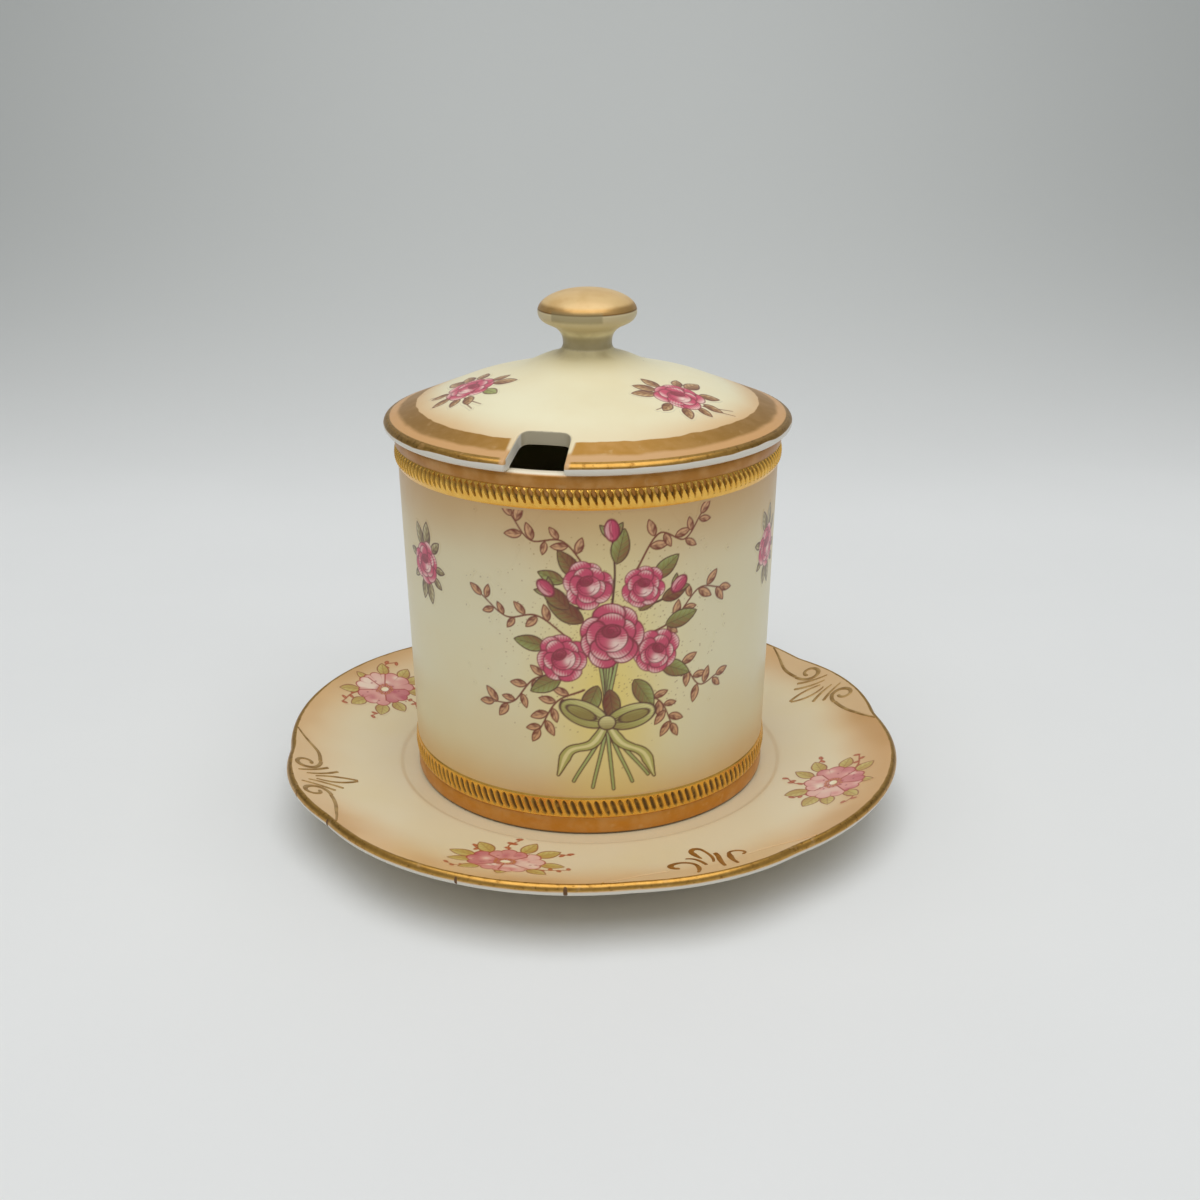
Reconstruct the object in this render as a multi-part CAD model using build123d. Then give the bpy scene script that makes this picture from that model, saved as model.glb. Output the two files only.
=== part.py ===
from build123d import *
from math import cos, radians, sin
import os

# Covered jam pot on its underplate, in fired and gilded earthenware: three pieces that lift apart.
# Millimetres, +Z up. The origin is the middle of the underplate's foot ring, on the table.
# The front faces -Y, and a turn is measured from the front, towards +X.

# Underplate
PLATE_FLANGE_WIDTH = 28.3
PLATE_RIM_RISE = 7.1
PLATE_RIM_THICKNESS = 2.6
PLATE_RIM_ROUND = 1.1
PLATE_RIM_SLOPE = 0.36
PLATE_BODY_THICKNESS = 4.4
PLATE_FOOT_RADIUS = 41.0
PLATE_FOOT_WIDTH = 4.0
PLATE_FOOT_HEIGHT = 4.1
PLATE_FOOT_DRAFT = 0.5
WELL_DEPTH = 0.5
WELL_EDGE_RUN = 1.4
WELL_CLEARANCE = 3.6

# Scroll panels, where the underplate's outline dips between long and short lobes
PANEL_COUNT = 4
PANEL_TURN = 22.0
PANEL_HALF_ANGLE = 15.0
PANEL_DIP = 2.2
PANEL_CROWN_DROP = 0.7
PANEL_CORNER_ROUND = 5.0

# Pot
POT_HEIGHT = 84.8
POT_BASE_RADIUS = 42.5
POT_TOP_RADIUS = 44.3
POT_WALL = 2.9
POT_FLOOR = 4.2
POT_FLOOR_ROUND = 6.0
FOOT_BAND_HEIGHT = 4.2
FOOT_BAND_PROUD = 0.2
FOOT_BAND_ROUND = 0.8
FOOT_RING_WIDTH = 4.5
FOOT_RECESS = 1.6
LOWER_BAND_HEIGHT = 5.2
LOWER_BAND_PROUD = 0.5
UPPER_BAND_HEIGHT = 4.7
UPPER_BAND_PROUD = 0.65
LIP_HEIGHT = 3.2
LIP_PROUD = 0.45
LIP_ROUND = 1.1

# Lid
LID_OVERHANG = 2.3
LID_EDGE_HEIGHT = 2.75
LID_EDGE_UNDERCUT = 1.3
LID_EDGE_SHOULDER = 1.1
LID_SLOPE = 0.395
LID_SKIRT_RUN = 8.5
LID_THICKNESS = 3.0
LID_CROWN_RADIUS = 14.0
LID_CROWN_RISE = 4.7
LID_FLANGE_DEPTH = 4.5
LID_FLANGE_WIDTH = 2.2
LID_CLEARANCE = 0.7

# Knob, in one with the lid
NECK_RADIUS = 5.6
NECK_RISE = 4.8
NECK_FLARE = 3.4
NECK_FLARE_DROP = 2.7
KNOB_PROUD = 5.7
KNOB_TOP = 5.0
KNOB_UNDER = 7.2
KNOB_UNDER_STEP = 2.4
KNOB_UNDER_RISE = 3.9

# Spoon notch in the lid's rim
NOTCH_TURN = -13.9
NOTCH_MOUTH = 12.8
NOTCH_END_WIDTH = 11.0
NOTCH_REACH = 2.5
NOTCH_CORNER_ROUND = 2.0
NOTCH_EDGE_ROUND = 0.5

# Beside the notch the lid is hollowed out to a narrow seat, so the flange stops short of the notch
RELIEF_HALF_ANGLE = 14.0
RELIEF_SEAT_WIDTH = 2.2

# Cutting shapes run this far past the face that they cut
PAST = 2.0
# A point closer than this to a shape is on it
TOUCHING = 1e-5
# The share of a wall that the rounds of its two edges may each take
ROUND_SHARE = 0.43
# The share of its half axis at which a quarter ellipse's Bezier handle stands
QUARTER_HANDLE = 0.5523

# Sizes that follow from the ones above
SEAT = PLATE_FOOT_HEIGHT + PLATE_BODY_THICKNESS
LIP_TOP = SEAT + POT_HEIGHT
WELL_RADIUS = POT_BASE_RADIUS + FOOT_BAND_PROUD + WELL_CLEARANCE
PLATE_RADIUS = WELL_RADIUS + WELL_EDGE_RUN + PLATE_FLANGE_WIDTH
LIP_RADIUS = POT_TOP_RADIUS + LIP_PROUD
MOUTH_RADIUS = POT_TOP_RADIUS - POT_WALL
LID_RADIUS = LIP_RADIUS + LID_OVERHANG
FLANGE_RADIUS = MOUTH_RADIUS - LID_CLEARANCE
HOLLOW_RADIUS = FLANGE_RADIUS - LID_FLANGE_WIDTH
HAUNCH_RADIUS = HOLLOW_RADIUS - LID_SKIRT_RUN
KNOB_RADIUS = NECK_RADIUS + KNOB_PROUD


def turned(outline):
    """The solid that a closed outline of radius and height sweeps about the Z axis."""
    return revolve(Plane.XZ * make_face(outline), Axis.Z)


def around(radius, turn):
    """The point in plan at this radius and turn from the front."""
    return (radius * sin(radians(turn)), -radius * cos(radians(turn)))


def lobed_plan():
    """The underplate's plan: short lobes at the scroll panels, with long lobes between them."""
    pitch = 360.0 / PANEL_COUNT
    dip = PLATE_RADIUS - PANEL_DIP
    edges = []
    for k in range(PANEL_COUNT):
        middle = PANEL_TURN + k * pitch
        first = around(dip, middle - PANEL_HALF_ANGLE)
        last = around(dip, middle + PANEL_HALF_ANGLE)
        following = around(dip, middle + pitch - PANEL_HALF_ANGLE)
        short_crown = around(PLATE_RADIUS - PANEL_CROWN_DROP, middle)
        long_crown = around(PLATE_RADIUS, middle + pitch / 2)
        edges.append(ThreePointArc(first, short_crown, last))
        edges.append(ThreePointArc(last, long_crown, following))
    plan = make_face(edges)
    return fillet(plan.vertices(), PANEL_CORNER_ROUND)


def underplate():
    """A shallow plate with a flat well for the pot, a rising flange, a lobed rim and a foot ring."""
    rim_height = SEAT + PLATE_RIM_RISE
    foot_inner = PLATE_FOOT_RADIUS - PLATE_FOOT_WIDTH
    foot_top = (PLATE_FOOT_RADIUS, PLATE_FOOT_HEIGHT)
    well_edge = (WELL_RADIUS + WELL_EDGE_RUN, SEAT + WELL_DEPTH)
    rim_top = (PLATE_RADIUS, rim_height)
    rim_under = (PLATE_RADIUS, rim_height - PLATE_RIM_THICKNESS)
    past_rise = PAST * PLATE_RIM_SLOPE
    past_top = (PLATE_RADIUS + PAST, rim_top[1] + past_rise)
    past_under = (PLATE_RADIUS + PAST, rim_under[1] + past_rise)
    outward = (1, PLATE_RIM_SLOPE)
    outline = [
        Polyline(
            (0, PLATE_FOOT_HEIGHT),
            (foot_inner - PLATE_FOOT_DRAFT, PLATE_FOOT_HEIGHT),
            (foot_inner, 0),
            (PLATE_FOOT_RADIUS - PLATE_FOOT_DRAFT, 0),
            foot_top,
        ),
        Spline(foot_top, rim_under, tangents=[(1, 0), outward]),
        Polyline(rim_under, past_under, past_top, rim_top),
        Spline(well_edge, rim_top, tangents=[(1, 0), outward]),
        Polyline(well_edge, (WELL_RADIUS, SEAT), (0, SEAT), (0, PLATE_FOOT_HEIGHT)),
    ]
    plate = turned(outline) & extrude(lobed_plan(), rim_height + PAST)
    inside = PLATE_RADIUS - PANEL_DIP - PAST

    def along_rim(edge):
        """Whether an edge runs along the lobed rim, and not up it or round a plain face."""
        beyond = all(Vector(v.X, v.Y).length > inside for v in edge.vertices())
        return beyond and edge.geom_type != GeomType.LINE

    rim_round = min(PLATE_RIM_ROUND, ROUND_SHARE * PLATE_RIM_THICKNESS)
    return fillet(plate.edges().filter_by(along_rim), rim_round)


def pot():
    """A slightly flaring pot with a foot band, two raised bands, a lip and a recessed base."""

    def wall(height):
        """The plain wall's outer radius at this height above the foot."""
        return POT_BASE_RADIUS + (POT_TOP_RADIUS - POT_BASE_RADIUS) * height / POT_HEIGHT

    def raised_band(low, height, proud):
        """The outline of a convex band on the wall."""
        middle = low + height / 2
        high = low + height
        crest = (wall(middle) + proud, middle)
        return ThreePointArc((wall(low), low), crest, (wall(high), high))

    foot_radius = POT_BASE_RADIUS + FOOT_BAND_PROUD
    foot_inner = foot_radius - FOOT_RING_WIDTH
    foot_corner = foot_radius - FOOT_BAND_ROUND
    lower_top = FOOT_BAND_HEIGHT + LOWER_BAND_HEIGHT
    lip_low = POT_HEIGHT - LIP_HEIGHT
    upper_low = lip_low - UPPER_BAND_HEIGHT
    lip_round = min(LIP_ROUND, ROUND_SHARE * (LIP_RADIUS - MOUTH_RADIUS))
    lip_side = POT_HEIGHT - lip_round
    lip_outer = LIP_RADIUS - lip_round
    lip_inner = MOUTH_RADIUS + lip_round
    floor_top = FOOT_RECESS + POT_FLOOR
    floor_radius = wall(floor_top) - POT_WALL
    outline = [
        Line((foot_inner, 0), (foot_corner, 0)),
        RadiusArc((foot_corner, 0), (foot_radius, FOOT_BAND_ROUND), -FOOT_BAND_ROUND),
        Polyline(
            (foot_radius, FOOT_BAND_ROUND),
            (foot_radius, FOOT_BAND_HEIGHT),
            (wall(FOOT_BAND_HEIGHT), FOOT_BAND_HEIGHT),
        ),
        raised_band(FOOT_BAND_HEIGHT, LOWER_BAND_HEIGHT, LOWER_BAND_PROUD),
        Line((wall(lower_top), lower_top), (wall(upper_low), upper_low)),
        raised_band(upper_low, UPPER_BAND_HEIGHT, UPPER_BAND_PROUD),
        Polyline((wall(lip_low), lip_low), (LIP_RADIUS, lip_low), (LIP_RADIUS, lip_side)),
        RadiusArc((LIP_RADIUS, lip_side), (lip_outer, POT_HEIGHT), -lip_round),
        Line((lip_outer, POT_HEIGHT), (lip_inner, POT_HEIGHT)),
        RadiusArc((lip_inner, POT_HEIGHT), (MOUTH_RADIUS, lip_side), -lip_round),
        Polyline(
            (MOUTH_RADIUS, lip_side),
            (floor_radius, floor_top),
            (0, floor_top),
            (0, FOOT_RECESS),
            (foot_inner, FOOT_RECESS),
            (foot_inner, 0),
        ),
    ]
    body = turned(outline)
    circles = body.edges().filter_by(GeomType.CIRCLE)
    floor_corner = circles.sort_by_distance((0, -floor_radius, floor_top))[0]
    return Pos(0, 0, SEAT) * fillet(floor_corner, POT_FLOOR_ROUND)


def spoon_notch():
    """What the notch takes out of the lid: it narrows inwards from the rim, to round corners."""
    end = HOLLOW_RADIUS - NOTCH_REACH
    outside = LID_RADIUS + PAST
    widening = (NOTCH_MOUTH - NOTCH_END_WIDTH) / (LID_RADIUS - end)
    end_half = NOTCH_END_WIDTH / 2
    outside_half = end_half + widening * (outside - end) / 2
    plan = make_face(
        Polyline(
            (-end_half, -end),
            (end_half, -end),
            (outside_half, -outside),
            (-outside_half, -outside),
            close=True,
        )
    )
    inner_corners = plan.vertices().sort_by(Axis.Y)[-2:]
    plan = fillet(inner_corners, min(NOTCH_CORNER_ROUND, ROUND_SHARE * NOTCH_END_WIDTH))
    below = LID_FLANGE_DEPTH + PAST
    above = LID_EDGE_HEIGHT + LID_SLOPE * (LID_RADIUS - end) + PAST
    return Rot(0, 0, NOTCH_TURN) * Pos(0, 0, -below) * extrude(plan, below + above)


def skirt(radius):
    """The height of the lid's conical skirt above the pot's lip."""
    return LID_EDGE_HEIGHT + LID_SLOPE * (LID_RADIUS - LID_EDGE_SHOULDER - radius)


def notch_relief():
    """What is taken from under the lid beside the notch, up to the lid's thickness."""
    seat = LID_RADIUS - LID_EDGE_UNDERCUT - RELIEF_SEAT_WIDTH
    low = -LID_FLANGE_DEPTH - PAST
    outline = Polyline(
        (HOLLOW_RADIUS, low),
        (seat, low),
        (seat, skirt(seat) - LID_THICKNESS),
        (HOLLOW_RADIUS, skirt(HOLLOW_RADIUS) - LID_THICKNESS),
        close=True,
    )
    sector = revolve(Plane.XZ * make_face(outline), Axis.Z, 2 * RELIEF_HALF_ANGLE)
    return Rot(0, 0, NOTCH_TURN - 90 - RELIEF_HALF_ANGLE) * sector


def lid():
    """A domed lid with a mushroom knob, a locating flange below and a spoon notch in its rim."""
    shoulder = (LID_RADIUS - LID_EDGE_SHOULDER, LID_EDGE_HEIGHT)
    edge_low = (LID_RADIUS - LID_EDGE_UNDERCUT, 0)
    bulge = (LID_RADIUS, LID_EDGE_HEIGHT / 2)
    haunch = (HAUNCH_RADIUS, skirt(HAUNCH_RADIUS))
    crown = (LID_CROWN_RADIUS, haunch[1] + LID_CROWN_RISE)
    neck = (NECK_RADIUS, crown[1] + NECK_RISE)
    flare = (NECK_RADIUS + NECK_FLARE, neck[1] - NECK_FLARE_DROP)
    under_knob = (NECK_RADIUS + KNOB_UNDER_STEP, neck[1] + KNOB_UNDER_RISE)
    equator = (KNOB_RADIUS, neck[1] + KNOB_UNDER)
    top = (0, equator[1] + KNOB_TOP)
    above_equator = (KNOB_RADIUS, equator[1] + QUARTER_HANDLE * KNOB_TOP)
    beside_top = (QUARTER_HANDLE * KNOB_RADIUS, top[1])
    hollow_top = (0, crown[1] - LID_THICKNESS)
    hollow_haunch = (HAUNCH_RADIUS, haunch[1] - LID_THICKNESS)
    hollow_edge = (HOLLOW_RADIUS, skirt(HOLLOW_RADIUS) - LID_THICKNESS)
    outline = [
        Line((FLANGE_RADIUS, 0), edge_low),
        ThreePointArc(edge_low, bulge, shoulder),
        Line(shoulder, haunch),
        Spline(haunch, crown, flare, neck, tangents=[(-1, LID_SLOPE), (0, 1)]),
        Spline(neck, under_knob, equator, tangents=[(0, 1), (0, 1)]),
        Bezier(equator, above_equator, beside_top, top),
        Line(top, hollow_top),
        Spline(hollow_top, hollow_haunch, tangents=[(1, 0), (1, -LID_SLOPE)]),
        Polyline(
            hollow_haunch,
            hollow_edge,
            (HOLLOW_RADIUS, -LID_FLANGE_DEPTH),
            (FLANGE_RADIUS, -LID_FLANGE_DEPTH),
            (FLANGE_RADIUS, 0),
        ),
    ]
    notch = spoon_notch()
    notched = turned(outline) - notch - notch_relief()

    def on_notch(edge):
        """Whether an edge is where the notch breaks the lid's upper side."""
        middle = edge @ 0.5
        upper = middle.Z > skirt(Vector(middle.X, middle.Y).length) - LID_THICKNESS / 2
        return upper and notch.distance_to(middle) < TOUCHING

    return Pos(0, 0, LIP_TOP) * fillet(notched.edges().filter_by(on_notch), NOTCH_EDGE_ROUND)


os.makedirs("parts", exist_ok=True)
export_step(underplate(), "parts/underplate.step")
export_step(pot(), "parts/pot.step")
export_step(lid(), "parts/lid.step")
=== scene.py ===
import math

import bmesh
import bpy
import numpy as np
from mathutils import Matrix, Vector
from mathutils.bvhtree import BVHTree


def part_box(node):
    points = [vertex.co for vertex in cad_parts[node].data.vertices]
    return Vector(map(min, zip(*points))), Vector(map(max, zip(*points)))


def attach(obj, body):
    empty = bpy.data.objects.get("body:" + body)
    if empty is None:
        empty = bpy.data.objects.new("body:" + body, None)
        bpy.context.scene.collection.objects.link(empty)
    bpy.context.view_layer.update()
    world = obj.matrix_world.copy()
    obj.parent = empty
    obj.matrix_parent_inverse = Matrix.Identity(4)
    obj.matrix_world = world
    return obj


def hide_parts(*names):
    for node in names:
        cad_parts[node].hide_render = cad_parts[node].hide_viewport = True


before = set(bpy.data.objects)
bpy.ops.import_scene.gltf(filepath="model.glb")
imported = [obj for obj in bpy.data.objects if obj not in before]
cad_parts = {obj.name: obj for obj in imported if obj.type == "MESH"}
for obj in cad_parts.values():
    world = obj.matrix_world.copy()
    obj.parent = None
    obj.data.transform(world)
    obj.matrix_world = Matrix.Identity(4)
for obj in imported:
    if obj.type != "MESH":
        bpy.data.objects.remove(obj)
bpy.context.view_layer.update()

# The looks of a covered jam pot on its underplate: ivory glaze with a peach blush, gilding and
# enamelled roses. Sizes are in millimetres, and turns are in degrees from the front (-Y) towards +X.
MM = 0.001
SHARP_ANGLE = 50.0

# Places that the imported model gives
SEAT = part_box("pot")[0].z / MM
LIP_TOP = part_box("pot")[1].z / MM
KNOB_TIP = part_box("lid")[1].z / MM

# Underplate
PLATE_RADIUS = 76.0
PLATE_RIM_ROUND = 1.1
PLATE_FOOT_RADIUS = 41.0
PLATE_FOOT_WIDTH = 4.0
PLATE_FOOT_HEIGHT = 4.1
PLATE_FOOT_DRAFT = 0.5
PLATE_FOOT_ROUND = 0.5
WELL_RADIUS = 46.3
WELL_EDGE_RUN = 1.4
WELL_ROWS = (44.0, 38.0, 26.0, 13.0)
PANEL_TURNS = (22.0, 112.0, 202.0, 292.0)
PANEL_HALF_ANGLE = 15.0
# From the middle of a panel to the middle of the lobe next to it
LOBE_STEP = 45.0
PANEL_DIP = 2.2
PANEL_CROWN_DROP = 0.7
PANEL_BLEND = 0.45
# The scrolls were pressed on by hand, not quite in the middle of each panel
SCROLL_TURNS = (22.0, 114.4, 202.0, 289.0)
# Chips in the gilded edge: turn and size
NICKS = ((-21.6, 0.4), (-4.0, 0.55), (-52.5, 0.5), (-64.4, 0.35), (141.0, 0.5))

# Pot, with heights above its foot
POT_BASE_RADIUS = 42.5
POT_TOP_RADIUS = 44.3
POT_HEIGHT = LIP_TOP - SEAT
POT_WALL = 2.9
POT_FLOOR = 5.8
POT_FLOOR_ROUND = 6.0
FOOT_BAND_HEIGHT = 4.2
FOOT_BAND_PROUD = 0.2
FOOT_RING_WIDTH = 4.5
FOOT_RECESS = 1.6
FOOT_CHAMFER = 0.3
LOWER_BAND_HEIGHT = 5.2
LOWER_BAND_PROUD = 0.5
UPPER_BAND_HEIGHT = 4.7
UPPER_BAND_PROUD = 0.65
LIP_HEIGHT = 3.2
LIP_PROUD = 0.45
FOOT_ROUND = 0.8
LIP_ROUND = 1.1
LIP_CHAMFER = 0.25
# How far the wall steps back under the lower band, how deep both bands are set in it, and how far their
# hidden edges lie inside their height
BAND_BED = 0.6
BAND_BURIED = 0.9
BAND_INSET = 0.05
# The size of the sloped edges of the lower band's bed
BED_SLOPE = 0.2
UPPER_REEDS = 168
LOWER_REEDS = 150
LOWER_TOP = FOOT_BAND_HEIGHT + LOWER_BAND_HEIGHT
LIP_LOW = POT_HEIGHT - LIP_HEIGHT
UPPER_LOW = LIP_LOW - UPPER_BAND_HEIGHT

# Lid: the height below which its edge is white, the height from which its knob is gilded, and the radii
# of its other gilding
LID_EDGE = LIP_TOP + 1.65
KNOB_EDGE = KNOB_TIP - 4.5
LID_BAND_INNER = 39.35
LID_BAND_OUTER = 43.5
LID_LINE = 45.45
# The notch for a spoon in the lid's rim
NOTCH_TURN = -13.9
NOTCH_HALF = 5.5
NOTCH_MOUTH_HALF = 6.4
NOTCH_END = 36.0

# Camera, fitted to the photograph's 1200 by 1200 frame
CAMERA_BACK = 337.14
CAMERA_UP = 176.98
CAMERA_PITCH = 20.797
CAMERA_YAW = 0.449
CAMERA_ROLL = -0.206
CAMERA_LENS = 44.55
SENSOR = 36.0

# Light, in metres and watts
LAMP_PLACE = Vector((0.01, -0.22, 1.2))
LAMP_TARGET = Vector((0.0, 0.0, 0.05))
LAMP_SIZE = 1.5
LAMP_POWER = 12.2
LAMP_COLOUR = (1.0, 0.99, 0.97)
ROOM_COLOUR = (0.97, 0.985, 1.0, 1.0)
ROOM_STRENGTH = 0.37


def srgb(red, green, blue):
    """A linear colour from 8-bit display values."""

    def linear(value):
        share = value / 255
        return share / 12.92 if share <= 0.04045 else ((share + 0.055) / 1.055) ** 2.4

    return (linear(red), linear(green), linear(blue), 1.0)


IVORY = srgb(243, 236, 201)
POT_IVORY = srgb(233, 226, 190)
CREAM = srgb(232, 214, 166)
PEACH = srgb(222, 174, 112)
BLUSH = srgb(190, 142, 80)
WHITE = srgb(226, 221, 208)
DULL_GOLD = srgb(194, 143, 66)
OCHRE = srgb(202, 132, 34)
LIP_OCHRE = srgb(176, 117, 38)
OLIVE_DIRT = srgb(92, 70, 24)
GLAZE_IOR = 1.5
GLAZE_RELIEF = 0.06


# Meshes


def around(radius, turn):
    """The point in plan at this radius and turn from the front."""
    angle = np.radians(turn)
    return radius * np.sin(angle), -radius * np.cos(angle)


def points_at(radius, turn, height):
    """Points at these radii, turns from the front and heights."""
    return np.stack(np.broadcast_arrays(*around(radius, turn), height), axis=-1)


def turned(u, v, angle):
    """Coordinates along and across a direction in degrees."""
    cos, sin = math.cos(math.radians(angle)), math.sin(math.radians(angle))
    return u * cos + v * sin, v * cos - u * sin


def toward(spot, angle, reach):
    """The spot at a distance from another, in a direction in degrees."""
    turn = math.radians(angle)
    return np.add(spot, (reach * math.cos(turn), reach * math.sin(turn)))


def add_object(name, data):
    """A new object in the scene."""
    made = bpy.data.objects.new(name, data)
    bpy.context.scene.collection.objects.link(made)
    return made


def add_mesh(name, vertices, faces, body, material):
    """A smooth mesh object, from points in millimetres, that rides on a body."""
    mesh = bpy.data.meshes.new(name)
    mesh.from_pydata((np.asarray(vertices) * MM).tolist(), [], faces)
    work = bmesh.new()
    work.from_mesh(mesh)
    bmesh.ops.recalc_face_normals(work, faces=work.faces)
    work.to_mesh(mesh)
    work.free()
    mesh.shade_smooth()
    mesh.set_sharp_from_angle(angle=math.radians(SHARP_ANGLE))
    mesh.materials.append(material)
    piece = add_object(name, mesh)
    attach(piece, body)
    return piece


def give(piece, name, values):
    """Stores one value for each vertex of a piece, for its material to read."""
    layer = piece.data.attributes.new(name, "FLOAT", "POINT")
    layer.data.foreach_set("value", np.asarray(values, np.float32).ravel())


def skin(rows, ring=False):
    """Vertices and faces through rows of points, where a row of one point is a pole.

    A ring's last row joins its first."""
    starts = np.cumsum([0] + [len(row) for row in rows])
    count = max(len(row) for row in rows)
    pairs = list(zip(range(len(rows) - 1), range(1, len(rows))))
    if ring:
        pairs.append((len(rows) - 1, 0))
    faces = []
    for low, high in pairs:
        for j in range(count):
            k = (j + 1) % count
            corners = []
            for row, turns in ((low, (j, k)), (high, (k, j))):
                if len(rows[row]) == 1:
                    corners.append(int(starts[row]))
                else:
                    corners.extend(int(starts[row]) + t for t in turns)
            faces.append(corners)
    return np.concatenate(rows), faces


def joined(skins):
    """Several skins as one set of vertices and faces."""
    vertices, faces, count = [], [], 0
    for points, sides in skins:
        vertices.append(points)
        faces += [[corner + count for corner in side] for side in sides]
        count += len(points)
    return np.concatenate(vertices), faces


def spin(outline, count):
    """Rows of points from an outline of radius and height pairs, where a radius of 0 gives a pole."""
    turns = np.linspace(0, 360, count, endpoint=False)
    return [points_at(radius, turns if radius else turns[:1], height) for radius, height in outline]


def quarter(centre, radius, start, steps=5):
    """Points of a quarter turn, counterclockwise from an angle in degrees, in radius and height."""
    angles = np.radians(np.linspace(start, start + 90, steps))
    return [(centre[0] + radius * math.cos(a), centre[1] + radius * math.sin(a)) for a in angles]


def between(first, last, steps):
    """Points from first to last, without either."""
    shares = np.linspace(0, 1, steps + 1)[1:-1]
    return [tuple(np.array(first) * (1 - s) + np.array(last) * s) for s in shares]


def section_fit(node, low, high, side):
    """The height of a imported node's upper (+1) or lower (-1) side over radius, as a polynomial."""
    tree = BVHTree.FromObject(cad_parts[node], bpy.context.evaluated_depsgraph_get())
    turn = PANEL_TURNS[0] + LOBE_STEP
    radii = np.linspace(low, high, 60)
    heights = []
    for radius in radii:
        x, y = around(radius * MM, turn)
        spot, _, _, _ = tree.ray_cast(Vector((x, y, side)), Vector((0, 0, -side)))
        heights.append(spot.z / MM)
    return np.poly1d(np.polyfit(radii, heights, 6))


plate_upper = section_fit("underplate", WELL_RADIUS + WELL_EDGE_RUN, PLATE_RADIUS - 1.5, 1)
plate_lower = section_fit("underplate", PLATE_FOOT_RADIUS + 0.1, PLATE_RADIUS - 1.0, -1)
lid_upper = section_fit("lid", 13.0, 45.0, 1)


def lobe(turn, middle, half, crown):
    """The outline's radius on one lobe's own arc, which passes through its two dips and its crown."""
    dip = PLATE_RADIUS - PANEL_DIP
    shift = (crown**2 - dip**2) / (2 * (crown - dip * math.cos(math.radians(half))))
    bend = crown - shift
    away = np.radians((turn - middle + 180) % 360 - 180)
    reach = np.maximum(bend**2 - (shift * np.sin(away)) ** 2, 0.0)
    return np.where(np.abs(away) < np.pi / 2, shift * np.cos(away) + np.sqrt(reach), 0.0)


def rim_radius(turn):
    """The radius of the underplate's lobed outline at a turn."""
    turn = np.asarray(turn, float)
    crown = PLATE_RADIUS - PANEL_CROWN_DROP
    half = LOBE_STEP - PANEL_HALF_ANGLE
    short = np.max([lobe(turn, m, PANEL_HALF_ANGLE, crown) for m in PANEL_TURNS], axis=0)
    long = np.max([lobe(turn, m + LOBE_STEP, half, PLATE_RADIUS) for m in PANEL_TURNS], axis=0)
    return 0.5 * (short + long + np.sqrt((short - long) ** 2 + PANEL_BLEND**2))


# Materials


def operation(name):
    """A method that joins a field and another value in a math node."""
    return lambda field, other: field.paint.math(name, field, other)


class Field:
    """A value that varies over a surface: an output of a node. The larger of two fields is a | b."""

    __add__ = operation("ADD")
    __sub__ = operation("SUBTRACT")
    __mul__ = operation("MULTIPLY")
    __truediv__ = operation("DIVIDE")
    __pow__ = operation("POWER")
    __or__ = operation("MAXIMUM")
    __lt__ = operation("LESS_THAN")
    __gt__ = operation("GREATER_THAN")

    def __init__(self, paint, socket):
        self.paint = paint
        self.socket = socket

    def __rsub__(self, other):
        return self.paint.math("SUBTRACT", other, self)

    def __abs__(self):
        return self.paint.math("ABSOLUTE", self)

    def rise(self, low, high):
        """0 below low, 1 above high, and smooth between them. It falls where low is the higher."""
        inputs = {"Value": self, "From Min": low, "From Max": high}
        return self.paint.field("ShaderNodeMapRange", 0, inputs, interpolation_type="SMOOTHSTEP")

    def within(self, low, high, soft):
        """1 from low to high, with edges that are this soft."""
        half = soft / 2
        return self.rise(low - half, low + half) * self.rise(high + half, high - half)


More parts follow.
